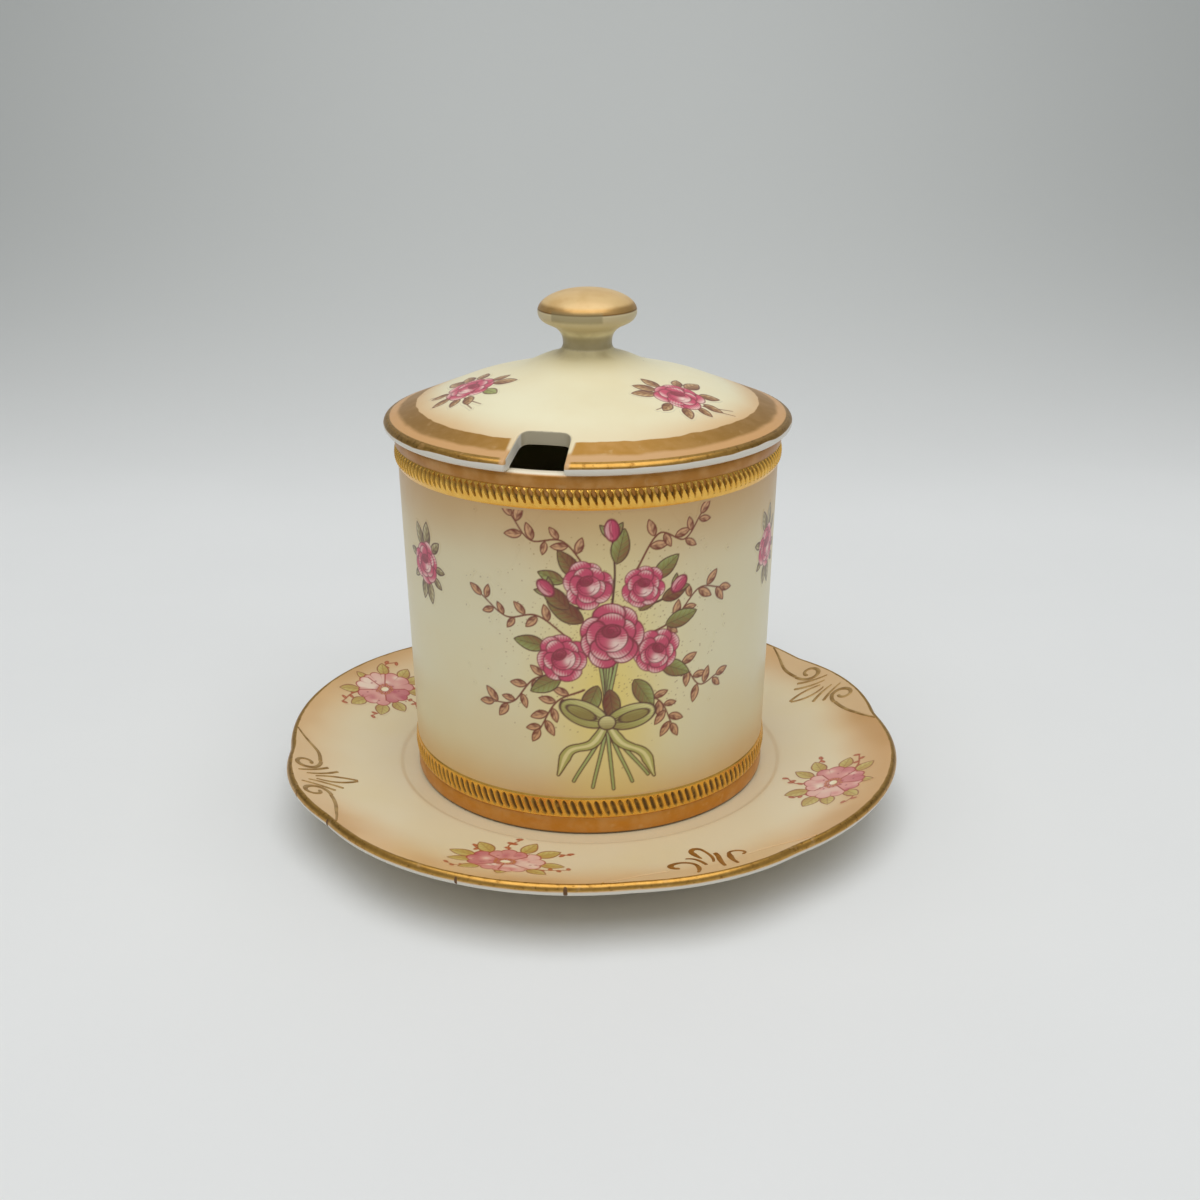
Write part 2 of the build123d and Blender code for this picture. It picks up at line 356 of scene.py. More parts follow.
class Paint:
    """One node material under construction. Its coordinates are the part's own, in millimetres."""

    def __init__(self, name):
        self.material = bpy.data.materials.new(name)
        self.material.use_nodes = True
        self.tree = self.material.node_tree
        self.place = self.field("ShaderNodeTexCoord", "Object")
        self.x, self.y, self.z = [part / MM for part in self.split(self.place)]
        self.radius = self.math("SQRT", self.x**2.0 + self.y**2.0)

    def field(self, kind, output, inputs=None, **settings):
        """An output of a new node with these settings, and inputs that are values or fields."""
        node = self.tree.nodes.new(kind)
        for key, value in settings.items():
            setattr(node, key, value)
        self.put(node, inputs or {})
        return Field(self, node.outputs[output])

    def put(self, node, inputs):
        """Links fields to a node's inputs, and sets those that are values."""
        for key, value in inputs.items():
            if isinstance(value, Field):
                self.tree.links.new(value.socket, node.inputs[key])
            else:
                node.inputs[key].default_value = value

    def split(self, vector):
        """The parts of a vector along x, y and z."""
        first = self.field("ShaderNodeSeparateXYZ", 0, {"Vector": vector})
        return [Field(self, socket) for socket in first.socket.node.outputs]

    def math(self, kind, *values):
        """The result of a math node."""
        return self.field("ShaderNodeMath", 0, dict(enumerate(values)), operation=kind)

    def mix(self, share, first, second):
        """A colour between two others."""
        return self.field("ShaderNodeMix", 2, {0: share, 6: first, 7: second}, data_type="RGBA")

    def blend(self, share, first, second):
        """A number between two others."""
        return self.field("ShaderNodeMix", 0, {0: share, 2: first, 3: second})

    def noise(self, size, detail, seed):
        """Noise from 0 to 1 with features of this size."""
        inputs = {"Vector": self.place, "W": seed, "Scale": 1 / (size * MM), "Detail": detail}
        return self.field("ShaderNodeTexNoise", "Fac", inputs, noise_dimensions="4D")

    def sway(self, size, detail, seed, reach):
        """Noise to both sides of 0, this far from end to end."""
        return (self.noise(size, detail, seed) - 0.5) * reach

    def specks(self, spacing, share, reach, seed):
        """Small round spots in this share of the cells, out to this part of a cell's size."""
        inputs = {"Vector": self.place, "W": seed, "Scale": 1 / (spacing * MM)}
        distance = self.field("ShaderNodeTexVoronoi", "Distance", inputs, voronoi_dimensions="4D")
        colour = Field(self, distance.socket.node.outputs["Color"])
        pick = self.field("ShaderNodeSeparateColor", 0, {"Color": colour})
        return distance.rise(reach, reach * 0.6) * (pick < share)

    def spot(self, x, y, reach):
        """A round spot in plan."""
        squares = (self.x - float(x)) ** 2.0 + (self.y - float(y)) ** 2.0
        return self.math("SQRT", squares).rise(reach, reach * 0.6)

    def facing(self):
        """How far the surface faces right, back and up."""
        return self.split(self.field("ShaderNodeTexCoord", "Normal"))

    def inside(self):
        """1 where the surface faces down or towards the axis, and 0 elsewhere."""
        right, back, up = self.facing()
        outward = (right * self.x + back * self.y) / self.radius
        return up.rise(0.0, -0.2) | outward.rise(-0.2, -0.5)

    def read(self, name, output="Fac"):
        """A value stored on the vertices."""
        return self.field("ShaderNodeAttribute", output, attribute_name=name)

    def finish(self, coats, height, depth):
        """Joins the coats to the shader. Depth is the relief of height, in millimetres."""
        bump = self.field("ShaderNodeBump", 0, {"Height": height, "Distance": depth * MM})
        looks = {"Base Color": coats.colour, "Metallic": coats.metal, "Roughness": coats.roughness}
        self.put(self.tree.nodes["Principled BSDF"], looks | {"Normal": bump, "IOR": GLAZE_IOR})
        return self.material


class Coats:
    """Layers of colour, metal and roughness, each laid over those before."""

    def __init__(self, paint, colour, roughness, metal=0.0):
        self.paint = paint
        self.colour = colour
        self.metal = metal
        self.roughness = roughness

    def wash(self, share, colour):
        """Lays on a colour that keeps the gloss below it."""
        self.colour = self.paint.mix(share, self.colour, colour)

    def gild(self, share, colour, metal, roughness):
        """Lays on a coat with a gloss of its own, such as a metal leaf or lustre."""
        self.wash(share, colour)
        self.metal = self.paint.blend(share, self.metal, metal)
        self.roughness = self.paint.blend(share, self.roughness, roughness)


def glazed(paint, ground, seed):
    """Coats that start with an old ivory glaze: clouded, faintly stained and speckled."""
    cloud = paint.noise(24.0, 4.0, seed).rise(0.35, 0.75)
    colour = paint.mix(cloud, ground, paint.mix(0.5, ground, CREAM))
    coats = Coats(paint, colour, paint.blend(paint.noise(3.0, 4.0, seed + 1), 0.26, 0.42))
    coats.wash(paint.specks(3.2, 0.05, 0.07, seed) * 0.55, OLIVE_DIRT)
    coats.wash(paint.specks(12.0, 0.14, 0.05, seed + 2) * 0.5, srgb(190, 132, 96))
    return coats


def worn(share, seed, amount):
    """A share of gilding with rubbed patches taken out of it."""
    return share * (1.0 - share.paint.noise(2.2, 5.0, seed).rise(0.58, 0.74) * amount)


def bright_gold(coats, share, seed):
    """Burnished gold, streaked by the brush."""
    paint = coats.paint
    gold = paint.mix(paint.noise(1.4, 4.0, seed), srgb(166, 119, 48), srgb(212, 168, 92))
    tarnished = paint.noise(0.9, 4.0, seed + 1).rise(0.54, 0.7) * 0.6
    coats.gild(worn(share, seed + 3, 0.4), paint.mix(tarnished, gold, srgb(120, 78, 28)), 1.0, 0.33)


def satin_gold(coats, share, colour, metal, seed):
    """Dull gold lustre, thin enough to show its brushing."""
    paint = coats.paint
    brushing = paint.noise(3.4, 5.0, seed).rise(0.35, 0.7)
    gold = paint.mix(brushing, colour, paint.mix(0.35, colour, PEACH))
    coats.gild(worn(share, seed + 5, 0.25), gold, metal, 0.36)


def beside_notch(paint, gap):
    """0 as near as this to the middle of the notch in the lid, and 1 elsewhere."""
    turn = math.radians(NOTCH_TURN)
    across = paint.x * math.cos(turn) + paint.y * math.sin(turn)
    return abs(across).rise(gap, gap + 0.7) | (paint.y > 0.0)


def lid_coats(paint):
    """The lid: ivory, shading to peach, with gold bands at the rim and round the knob."""
    coats = glazed(paint, IVORY, 1.0)
    radius, height = paint.radius, paint.z
    upper = (height + paint.sway(14.0, 2.0, 7.0, 1.4)).rise(LID_EDGE, LID_EDGE + 0.15)
    blush = (radius + paint.sway(16.0, 2.0, 2.0, 3.2)).rise(31.0, 41.0)
    coats.wash(blush * paint.blend(abs(paint.x).rise(2.0, 34.0), 0.25, 0.85), PEACH)
    # The dome darkens towards the foot of the knob: painted shade.
    coats.wash(radius.rise(15.0, 7.0) * 0.35, srgb(214, 198, 140))
    coats.wash(radius.rise(42.2, 43.6) * 0.85, srgb(210, 158, 98))
    wavering = radius + paint.sway(6.0, 3.0, 10.0, 1.6)
    band = wavering.rise(LID_BAND_INNER - 0.15, LID_BAND_INNER + 0.15)
    band = band * wavering.rise(LID_BAND_OUTER + 0.6, LID_BAND_OUTER - 0.6)
    band = band * beside_notch(paint, NOTCH_HALF + 1.1)
    satin_gold(coats, band * upper, DULL_GOLD, 0.85, 3.0)
    line = radius.rise(LID_LINE, LID_LINE + 0.25) * beside_notch(paint, NOTCH_MOUTH_HALF + 0.7)
    bright_gold(coats, line * upper, 4.0)
    neck = radius.rise(10.0, 6.5) * height.rise(KNOB_EDGE - 0.5, KNOB_EDGE - 4.5)
    coats.wash(neck * paint.noise(5.0, 3.0, 8.0).rise(0.4, 0.7) * 0.4, srgb(168, 146, 86))
    # Painted shade on the knob's underside and neck, in the band of height below its gilding.
    coats.wash(height.within(KNOB_EDGE - 4.5, KNOB_EDGE, 1.5) * 0.75, srgb(194, 176, 132))
    knob = height.rise(KNOB_EDGE - 0.1, KNOB_EDGE + 0.1)
    coats.wash(knob, srgb(228, 194, 136))
    coats.wash(knob * paint.noise(4.5, 5.0, 9.0).rise(0.42, 0.68) * 0.6, srgb(204, 160, 94))
    satin_gold(coats, knob * 0.4, srgb(226, 190, 126), 0.4, 5.0)
    ring = knob * height.rise(KNOB_EDGE + 1.8, KNOB_EDGE + 1.0)
    satin_gold(coats, ring, srgb(194, 154, 92), 0.7, 6.0)
    coats.wash(height.within(KNOB_EDGE - 0.15, KNOB_EDGE + 0.2, 0.15) * 0.6, srgb(110, 74, 30))
    edge_below = (1.0 - upper) * radius.rise(30.0, 31.0)
    steep = abs(paint.facing()[2]).rise(0.6, 0.25) * radius.rise(LID_LINE + 0.45, LID_LINE - 0.05)
    hollow = (paint.inside() | steep) * height.rise(KNOB_EDGE - 8.5, KNOB_EDGE - 9.5)
    coats.gild(edge_below | hollow, WHITE, 0.0, 0.3)
    # Painted shade on the back wall of the spoon notch.
    notch_back_shade = (1.0 - beside_notch(paint, NOTCH_HALF)) * radius.rise(NOTCH_END + 1.6, NOTCH_END + 1.0)
    coats.wash(notch_back_shade * steep * 0.7, srgb(158, 144, 104))
    return coats


def pot_coats(paint):
    """The pot: ivory wall, peach under the upper band and over the lower one, and gilded edges."""
    coats = glazed(paint, POT_IVORY, 11.0)
    height = paint.z - SEAT
    swayed = height + paint.sway(22.0, 2.0, 12.0, 7.0)
    outside = paint.radius.rise(POT_BASE_RADIUS - 0.7, POT_BASE_RADIUS - 0.3)
    for low, high, share in ((UPPER_LOW - 16.0, UPPER_LOW + 2.0, 0.9), (UPPER_LOW - 40.0, UPPER_LOW, 0.3)):
        coats.wash(swayed.rise(low, high) * share * outside, srgb(202, 162, 106))
    coats.wash(swayed.rise(LOWER_TOP + 12.0, LOWER_TOP - 2.0) * 0.8 * outside, srgb(224, 180, 112))
    foot = height.rise(FOOT_BAND_HEIGHT + 0.3, FOOT_BAND_HEIGHT) * height.rise(0.2, 0.5)
    satin_gold(coats, foot * outside, OCHRE, 0.3, 13.0)
    # Darker at the bottom of the foot: partly the bare rounding, partly painted contact shadow.
    coats.wash(height.rise(0.75, 0.3) * outside * 0.8, srgb(74, 48, 20))
    # The top of the lip is pale: its ungilded glaze, brightened further as a painted highlight.
    coats.wash(height.rise(POT_HEIGHT - 0.7, POT_HEIGHT - 0.15), srgb(240, 230, 206))
    lip = height.within(UPPER_LOW + 1.0, POT_HEIGHT - 0.4, 0.5)
    satin_gold(coats, lip * outside, LIP_OCHRE, 0.45, 14.0)
    return coats


def plate_coats(paint):
    """The underplate: cream, shading to peach at the rim, with a gold line along its edge."""
    coats = glazed(paint, srgb(234, 219, 185), 21.0)
    inset = paint.read("inset")
    swayed = inset + paint.sway(26.0, 2.0, 22.0, 12.0)
    coats.wash(swayed.rise(17.0, 0.0) * 0.75, PEACH)
    deep = swayed.rise(9.0, 0.0) * paint.noise(30.0, 2.0, 23.0).rise(0.42, 0.66)
    coats.wash(deep * 0.55, BLUSH)
    coats.wash(swayed.rise(13.0, 1.0) * paint.x.rise(30.0, 70.0) * 0.45, srgb(194, 144, 84))
    coats.wash(paint.read("panel") * 0.7, srgb(224, 194, 150))
    coats.gild(inset.rise(-0.5, -0.9), WHITE, 0.0, 0.3)
    coats.wash(inset.rise(-4.0, -12.0), srgb(226, 208, 172))
    rubbed = inset + paint.sway(3.0, 3.0, 26.0, 0.5)
    bright_gold(coats, rubbed.within(-0.55, 1.35, 0.2), 24.0)
    for turn, size in NICKS:
        nick = paint.spot(*around(float(rim_radius(turn)), turn), size)
        coats.gild(nick, srgb(104, 70, 34), 0.0, 0.7)
    return coats


def relief_coats(paint, seed):
    """The pot's reeded bands: bright gold, with olive dirt and painted shade laid in the hollows."""
    gold = paint.mix(paint.noise(2.0, 4.0, seed), srgb(222, 160, 54), srgb(250, 206, 108))
    coats = Coats(paint, gold, 0.24, 1.0)
    # Dark olive in the hollows: partly dirt, partly painted shade.
    hollow_dirt_and_shade = paint.read("hollow") * paint.noise(1.6, 3.0, seed + 1).rise(0.1, 0.5)
    coats.gild(hollow_dirt_and_shade * 0.95, srgb(88, 60, 18), 0.1, 0.6)
    coats.gild(paint.specks(2.6, 0.05, 0.16, seed), srgb(168, 150, 120), 0.0, 0.5)
    return coats


def enamelled(paint, coats_of):
    """Coats with painted enamel over them, whose colour and cover are stored on the vertices."""
    coats = coats_of(paint)
    thin = paint.blend(paint.noise(1.1, 4.0, 61.0), 1.0, 0.92)
    coats.gild(paint.read("cover") * thin, paint.read("enamel", "Color"), 0.0, 0.3)
    return coats


def scroll_coats(paint, dark, light):
    """The gilded scrolls: old gold, browner where it is rubbed thin."""
    gold = paint.mix(paint.noise(2.4, 4.0, 71.0).rise(0.3, 0.7), dark, light)
    coats = Coats(paint, gold, 0.42, 0.35)
    coats.gild(paint.noise(1.2, 4.0, 72.0).rise(0.6, 0.72) * 0.6, BLUSH, 0.2, 0.5)
    return coats


def finished(name, coats_of, *details):
    """A material from the coats that a function lays on, with the faint unevenness of a poured glaze."""
    paint = Paint(name)
    coats = coats_of(paint, *details)
    uneven = paint.noise(7.0, 2.0, 3.0) + paint.noise(0.9, 2.0, 3.0) * 0.12
    return paint.finish(coats, uneven, GLAZE_RELIEF)


lid_material = finished("lid_glaze", lid_coats)
pot_material = finished("pot_glaze", pot_coats)
plate_material = finished("plate_glaze", plate_coats)
upper_gilt_material = finished("upper_gilding", relief_coats, 31.0)
lower_gilt_material = finished("lower_gilding", relief_coats, 41.0)
scroll_material = finished("scroll_gilding", scroll_coats, srgb(150, 114, 58), srgb(190, 156, 98))
brown_scroll_material = finished("brown_scroll_gilding", scroll_coats, srgb(138, 88, 26), srgb(176, 122, 50))
lid_enamel = finished("lid_enamel", enamelled, lid_coats)
pot_enamel = finished("pot_enamel", enamelled, pot_coats)
plate_enamel = finished("plate_enamel", enamelled, plate_coats)


# Underplate


def panel_share(turns, inset):
    """1 inside the painted panels, which lie between the scrolls' arms and the rim, and 0 elsewhere."""
    away = np.min([np.abs((turns - m + 180) % 360 - 180) for m in SCROLL_TURNS], axis=0)
    start, heading, arcs, _ = SCROLL_ARM
    along, depth = flourish(start, heading, arcs)[::-1].T
    reach = np.interp(np.radians(away) * PLATE_RADIUS, along, depth, right=0.0)
    return np.clip((reach - inset) / 0.8, 0, 1) * (inset > 0)


# How far the inset has gone below 0 where the rounded edge ends underneath, and an inset far beyond that
EDGE_TURN = PLATE_RIM_ROUND * (math.pi - 1)
HIDDEN = -50.0


def give_rim(piece, inset=None):
    """Stores the distance inward from the underplate's rim, and the share of its panels, on a piece."""
    points = np.array([vertex.co for vertex in piece.data.vertices]) / MM
    turns = np.degrees(np.arctan2(points[:, 0], -points[:, 1]))
    if inset is None:
        inset = rim_radius(turns) - np.hypot(points[:, 0], points[:, 1])
    give(piece, "inset", inset)
    give(piece, "panel", panel_share(turns, inset))


def make_plate(columns=720, under_rows=24, edge_rows=13, flange_rows=36):
    """The underplate: foot ring, underside, rounded lobed rim, flange and well."""
    turns = np.linspace(0, 360, columns, endpoint=False)
    rim = rim_radius(turns)
    inner_edge = rim - PLATE_RIM_ROUND
    rows, insets = [], []

    def row(radius, height, inset):
        rows.append(points_at(radius, turns if np.any(radius) else turns[:1], height))
        insets.append(np.broadcast_to(inset, len(rows[-1])))

    foot_inner = PLATE_FOOT_RADIUS - PLATE_FOOT_WIDTH
    foot_outer = PLATE_FOOT_RADIUS - PLATE_FOOT_DRAFT
    middle, corner = (0, PLATE_FOOT_HEIGHT), (foot_inner - PLATE_FOOT_DRAFT, PLATE_FOOT_HEIGHT)
    outline = [middle] + between(middle, corner, 5) + [corner]
    outline += quarter((foot_inner + PLATE_FOOT_ROUND, PLATE_FOOT_ROUND), PLATE_FOOT_ROUND, 180)
    outline += quarter((foot_outer - PLATE_FOOT_ROUND, PLATE_FOOT_ROUND), PLATE_FOOT_ROUND, 270)
    outline.append((PLATE_FOOT_RADIUS, PLATE_FOOT_HEIGHT))
    for radius, height in outline:
        row(radius, height, HIDDEN)
    for share in np.linspace(0, 1, under_rows)[1:]:
        radius = PLATE_FOOT_RADIUS + (inner_edge - PLATE_FOOT_RADIUS) * share
        row(radius, plate_lower(radius), radius - inner_edge - EDGE_TURN)
    low, high = plate_lower(inner_edge), plate_upper(inner_edge)
    for angle in np.radians(np.linspace(-90, 90, edge_rows)[1:-1]):
        height = (low + high) / 2 + (high - low) / 2 * math.sin(angle)
        inset = PLATE_RIM_ROUND * (1 - math.pi / 2 + angle)
        row(inner_edge + PLATE_RIM_ROUND * math.cos(angle), height, inset)
    well_edge = WELL_RADIUS + WELL_EDGE_RUN
    for share in np.linspace(1, 0, flange_rows):
        radius = well_edge + (inner_edge - well_edge) * share
        row(radius, plate_upper(radius), rim - radius)
    for share in np.linspace(1, 0, 5)[1:]:
        radius = WELL_RADIUS + WELL_EDGE_RUN * share
        ease = share * share * (3 - 2 * share)
        row(radius, SEAT + (plate_upper(well_edge) - SEAT) * ease, rim - radius)
    for radius in WELL_ROWS:
        row(radius, SEAT, rim - radius)
    row(0, SEAT, PLATE_RADIUS)
    plate = add_mesh("underplate_glazed", *skin(rows), "underplate", plate_material)
    give_rim(plate, np.concatenate(insets))
    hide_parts("underplate")


# Pot


def wall(height):
    """The pot's plain outer radius at a height above its foot."""
    return POT_BASE_RADIUS + (POT_TOP_RADIUS - POT_BASE_RADIUS) * height / POT_HEIGHT


def make_pot(columns=360):
    """The pot's body, from the middle of its recessed base, up its outside and down its inside."""
    foot = POT_BASE_RADIUS + FOOT_BAND_PROUD
    ring = foot - FOOT_RING_WIDTH
    bed = POT_BASE_RADIUS - BAND_BED
    lip = POT_TOP_RADIUS + LIP_PROUD
    mouth = POT_TOP_RADIUS - POT_WALL
    corner = (wall(POT_FLOOR) - POT_WALL - POT_FLOOR_ROUND, POT_FLOOR + POT_FLOOR_ROUND)
    outline = [(0, FOOT_RECESS)]
    outline += between((0, FOOT_RECESS), (ring, FOOT_RECESS), 5)
    outline += [(ring, FOOT_RECESS), (ring, FOOT_CHAMFER), (ring + FOOT_CHAMFER, 0.0)]
    outline += quarter((foot - FOOT_ROUND, FOOT_ROUND), FOOT_ROUND, 270)
    outline += [(foot, FOOT_BAND_HEIGHT - BED_SLOPE), (foot - BED_SLOPE, FOOT_BAND_HEIGHT)]
    outline += [(bed, FOOT_BAND_HEIGHT + BED_SLOPE), (bed, LOWER_TOP - BED_SLOPE)]
    low, high = (wall(LOWER_TOP), LOWER_TOP), (wall(UPPER_LOW), UPPER_LOW)
    outline += [low] + between(low, high, 24) + [high, (wall(LIP_LOW), LIP_LOW)]
    outline += [(lip - LIP_CHAMFER, LIP_LOW), (lip, LIP_LOW + LIP_CHAMFER)]
    outline += quarter((lip - LIP_ROUND, POT_HEIGHT - LIP_ROUND), LIP_ROUND, 0)
    outline += quarter((mouth + LIP_ROUND, POT_HEIGHT - LIP_ROUND), LIP_ROUND, 90)
    outline += between((mouth, POT_HEIGHT - LIP_ROUND), (corner[0] + POT_FLOOR_ROUND, corner[1]), 20)
    outline += quarter(corner, POT_FLOOR_ROUND, 270, 9)[::-1]
    outline += between((corner[0], POT_FLOOR), (0, POT_FLOOR), 6)
    outline += [(0, POT_FLOOR)]
    raised = [(radius, height + SEAT) for radius, height in outline]
    pot = add_mesh("pot_glazed", *skin(spin(raised, columns)), "pot", pot_material)
    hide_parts("pot")


def make_band(name, low, height, proud, reeds, profile, material, samples=10, levels=22):
    """A gilded band with slanted reeds. Profile gives its relief and hollows from the phase and the level."""
    turns = np.linspace(0, 360, reeds * samples, endpoint=False)
    phase = (turns / 360 * reeds) % 1.0
    rows, hollows = [], []
    for level in np.linspace(0, 1, levels):
        z = low + height * level
        bulge = proud * (1 - (2 * level - 1) ** 2)
        relief, hollow = profile(phase, level)
        rows.append(points_at(wall(z) + bulge + relief, turns, z + SEAT))
        hollows.append(hollow)
    for z in (low + height - BAND_INSET, low + BAND_INSET):
        rows.append(points_at(wall(z) - BAND_BURIED, turns, z + SEAT))
        hollows.append(np.zeros(len(turns)))
    band = add_mesh(name, *skin(rows, ring=True), "pot", material)
    give(band, "hollow", np.concatenate(hollows))


def leaning_reeds(phase, level):
    """Dark round-topped slots that taper and run to the right on their way down to a plain edge."""
    lean = 0.78 * (1 - level)
    place = np.abs((phase - lean) % 1.0 - 0.5) * 2
    wide = np.interp(level, (0.2, 0.3, 0.62, 0.8, 0.9, 0.93), (0.0, 0.16, 0.6, 0.72, 0.5, 0.0))
    slot = np.clip((wide - place) / 0.3, 0, 1) * (wide > 0)
    ridge = np.exp(-(((place - wide - 0.1) / 0.16) ** 2)) * (wide > 0)
    return 0.14 * ridge - 0.62 * slot, slot


def sunk_flutes(phase, level):
    """Round-ended flutes that run to the right on their way down, between two plain edges."""
    lean = 0.95 * (1 - level)
    place = np.abs((phase - lean) % 1.0 - 0.5) * 2
    inside = np.clip(np.minimum((level - 0.13) / 0.12, (0.86 - level) / 0.14), 0, 1)
    wide = 0.7 * np.sqrt(inside)
    slot = np.clip((wide - place) / 0.4, 0, 1) * (wide > 0)
    edge_line = 0.12 * np.exp(-(((np.abs(level - 0.5) - 0.42) / 0.06) ** 2))
    return edge_line - 0.5 * slot, slot


# Gilded scrolls on the underplate


def curve(points, step=0.3):
    """A smooth path through points, with samples about a step apart."""
    points = np.asarray(points, float)
    points = np.vstack([2 * points[0] - points[1], points, 2 * points[-1] - points[-2]])
    samples = []
    for a, b, c, d in zip(points, points[1:], points[2:], points[3:]):
        count = max(2, int(np.linalg.norm(c - b) / step))
        t = np.linspace(0, 1, count, endpoint=False)[:, None]
        bend, twist = 2 * a - 5 * b + 4 * c - d, 3 * b - a - 3 * c + d
        samples.append(0.5 * (2 * b + (c - a) * t + bend * t**2 + twist * t**3))
    return np.vstack(samples + [points[-2:-1]])


def swelling(widths, count):
    """Widths at so many places, from a few that run from a stroke's start to its end."""
    return np.interp(np.linspace(0, 1, count), np.linspace(0, 1, len(widths)), widths)


def on_plate(turn, along, inward, offset):
    """Points on the underplate's flange, from places along its rim and inward from it."""
    turns = turn + np.degrees(along / PLATE_RADIUS)
    radius = rim_radius(turns) - inward
    return points_at(radius, turns, plate_upper(radius) + offset)


SCROLL_RELIEF = 0.2
SCROLL_BURIED = 0.2


def scroll_stroke(turn, path, widths):
    """One raised pen stroke, draped on the flange, with widths that run from its start to its end."""
    heading = np.gradient(path, axis=0)
    heading /= np.linalg.norm(heading, axis=1)[:, None]
    side = np.column_stack([-heading[:, 1], heading[:, 0]]) * swelling(widths, len(path))[:, None] / 2
    shares = np.linspace(-1, 1, 7)
    lift = SCROLL_RELIEF * np.sqrt(1 - 0.9 * shares**2)
    rows = []
    for spot, reach in zip(path[1:-1], side[1:-1]):
        along, inward = (spot + reach * shares[:, None]).T
        sunk = on_plate(turn, along[::-1], inward[::-1], -SCROLL_BURIED)
        rows.append(np.vstack([on_plate(turn, along, inward, lift), sunk[1:-1]]))
    first, last = [on_plate(turn, spot[:1], spot[1:], 0.0) for spot in (path[0], path[-1])]
    return skin([first] + rows + [last])


# Strokes on the flange: the start, along the rim and inward from it, the heading there, arcs with their
# lengths and turns, and widths from start to end. SCROLL_STROKES are those of one half of a panel.
SCROLL_ARM = ((27.0, 1.3), 153, ((9.0, 0), (9.0, 24)), (0.4, 0.8, 0.95))
SCROLL_STROKES = (
    SCROLL_ARM,
    ((10.5, 7.8), 172, ((3.6, 36), (3.4, 80), (4.0, 88), (5.4, 190)), (0.95, 1.1, 1.2, 0.9, 0.9)),
    ((3.2, 2.6), 76, ((8.4, -32),), (0.3, 0.8, 1.0)),
    ((1.8, 4.4), 82, ((8.7, -36),), (0.3, 0.8, 1.0)),
    ((0.7, 6.4), 64, ((10.5, 58),), (0.4, 0.85, 0.9)),
)
FRONT_STROKES = (
    ((-5.3, 3.0), 54, ((6.6, 28), (4.4, 80), (3.2, 52), (4.6, 140)), (0.6, 1.1, 0.9, 0.9, 1.6, 1.2)),
    ((-3.2, 14.6), -4, ((3.4, -74), (4.8, -26)), (0.4, 0.9, 0.8)),
    ((0.6, 12.6), 92, ((4.6, -2), (5.4, -176), (9.0, -40)), (0.5, 1.7, 1.3, 0.8, 0.9, 0.6)),
    ((5.6, 14.2), -98, ((3.2, -20), (7.9, 14)), (1.3, 1.3, 0.7)),
    ((9.8, 8.5), -14, ((2.6, 112), (3.2, 74), (1.4, 64), (8.8, 26)), (0.8, 0.7, 0.8, 1.6, 1.0, 0.6)),
)


def flourish(start, heading, arcs, step=0.3):
    """A path of arcs from a start and a heading in degrees. Each arc has a length and a turn."""
    path = [np.array(start)]
    for length, bend in arcs:
        count = math.ceil(length / step)
        for number in range(count):
            path.append(toward(path[-1], heading + bend * (number + 0.5) / count, length / count))
        heading += bend
    return np.array(path)


def both_hands(strokes):
    """Strokes and their mirror images."""
    mirrored = []
    for (along, inward), heading, arcs, widths in strokes:
        flipped = [(length, -bend) for length, bend in arcs]
        mirrored.append(((-along, inward), 180 - heading, flipped, widths))
    return list(strokes) + mirrored


def make_scroll(name, turn, strokes, material):
    """Scrolls that stand up from the flange about a turn."""
    skins = [scroll_stroke(turn, flourish(*path), widths) for *path, widths in strokes]
    return add_mesh(name, *joined(skins), "underplate", material)


def make_scrolls():
    """The scrolls of every panel. On the front one the gilding of the arms is worn away to the glaze."""
    front, *others = SCROLL_TURNS
    make_scroll("scroll_front", front, FRONT_STROKES, brown_scroll_material)
    give_rim(make_scroll("scroll_front_arms", front, both_hands([SCROLL_ARM]), plate_material))
    for number, turn in enumerate(others):
        make_scroll(f"scroll_{number}", turn, both_hands(SCROLL_STROKES), scroll_material)


# Enamel painting


class Sheet:
    """An enamelled patch: a grid of colours and how well they cover, in millimetres right and up."""

    def __init__(self, left, right, low, high, step):
        self.u, self.v = np.meshgrid(np.arange(left, right, step), np.arange(low, high, step))
        self.colour = np.zeros(self.u.shape + (3,))
        self.cover = np.zeros(self.u.shape)

    def part(self, low, high):
        """The part of the grid between two corners, and its coordinates."""
        rows = slice(*np.searchsorted(self.v[:, 0], (low[1], high[1])))
        columns = slice(*np.searchsorted(self.u[0], (low[0], high[0])))
        return (rows, columns), self.u[rows, columns], self.v[rows, columns]

    def near(self, spot, reach):
        """The part of the grid around a spot, with coordinates from it."""
        part, u, v = self.part(np.subtract(spot, reach), np.add(spot, reach))
        return part, u - spot[0], v - spot[1]

    def lay(self, part, share, colour):
        """Lays a colour on a part of the grid, in a share for each point."""
        share = np.clip(share, 0, 1)
        before = self.cover[part]
        after = share + before * (1 - share)
        weight = share / np.maximum(after, 1e-6)
        self.colour[part] += (colour - self.colour[part]) * weight[..., None]
        self.cover[part] = after


def pigment(red, green, blue):
    """A colour for a sheet, from 8-bit display values."""
    return np.array(srgb(red, green, blue)[:3])


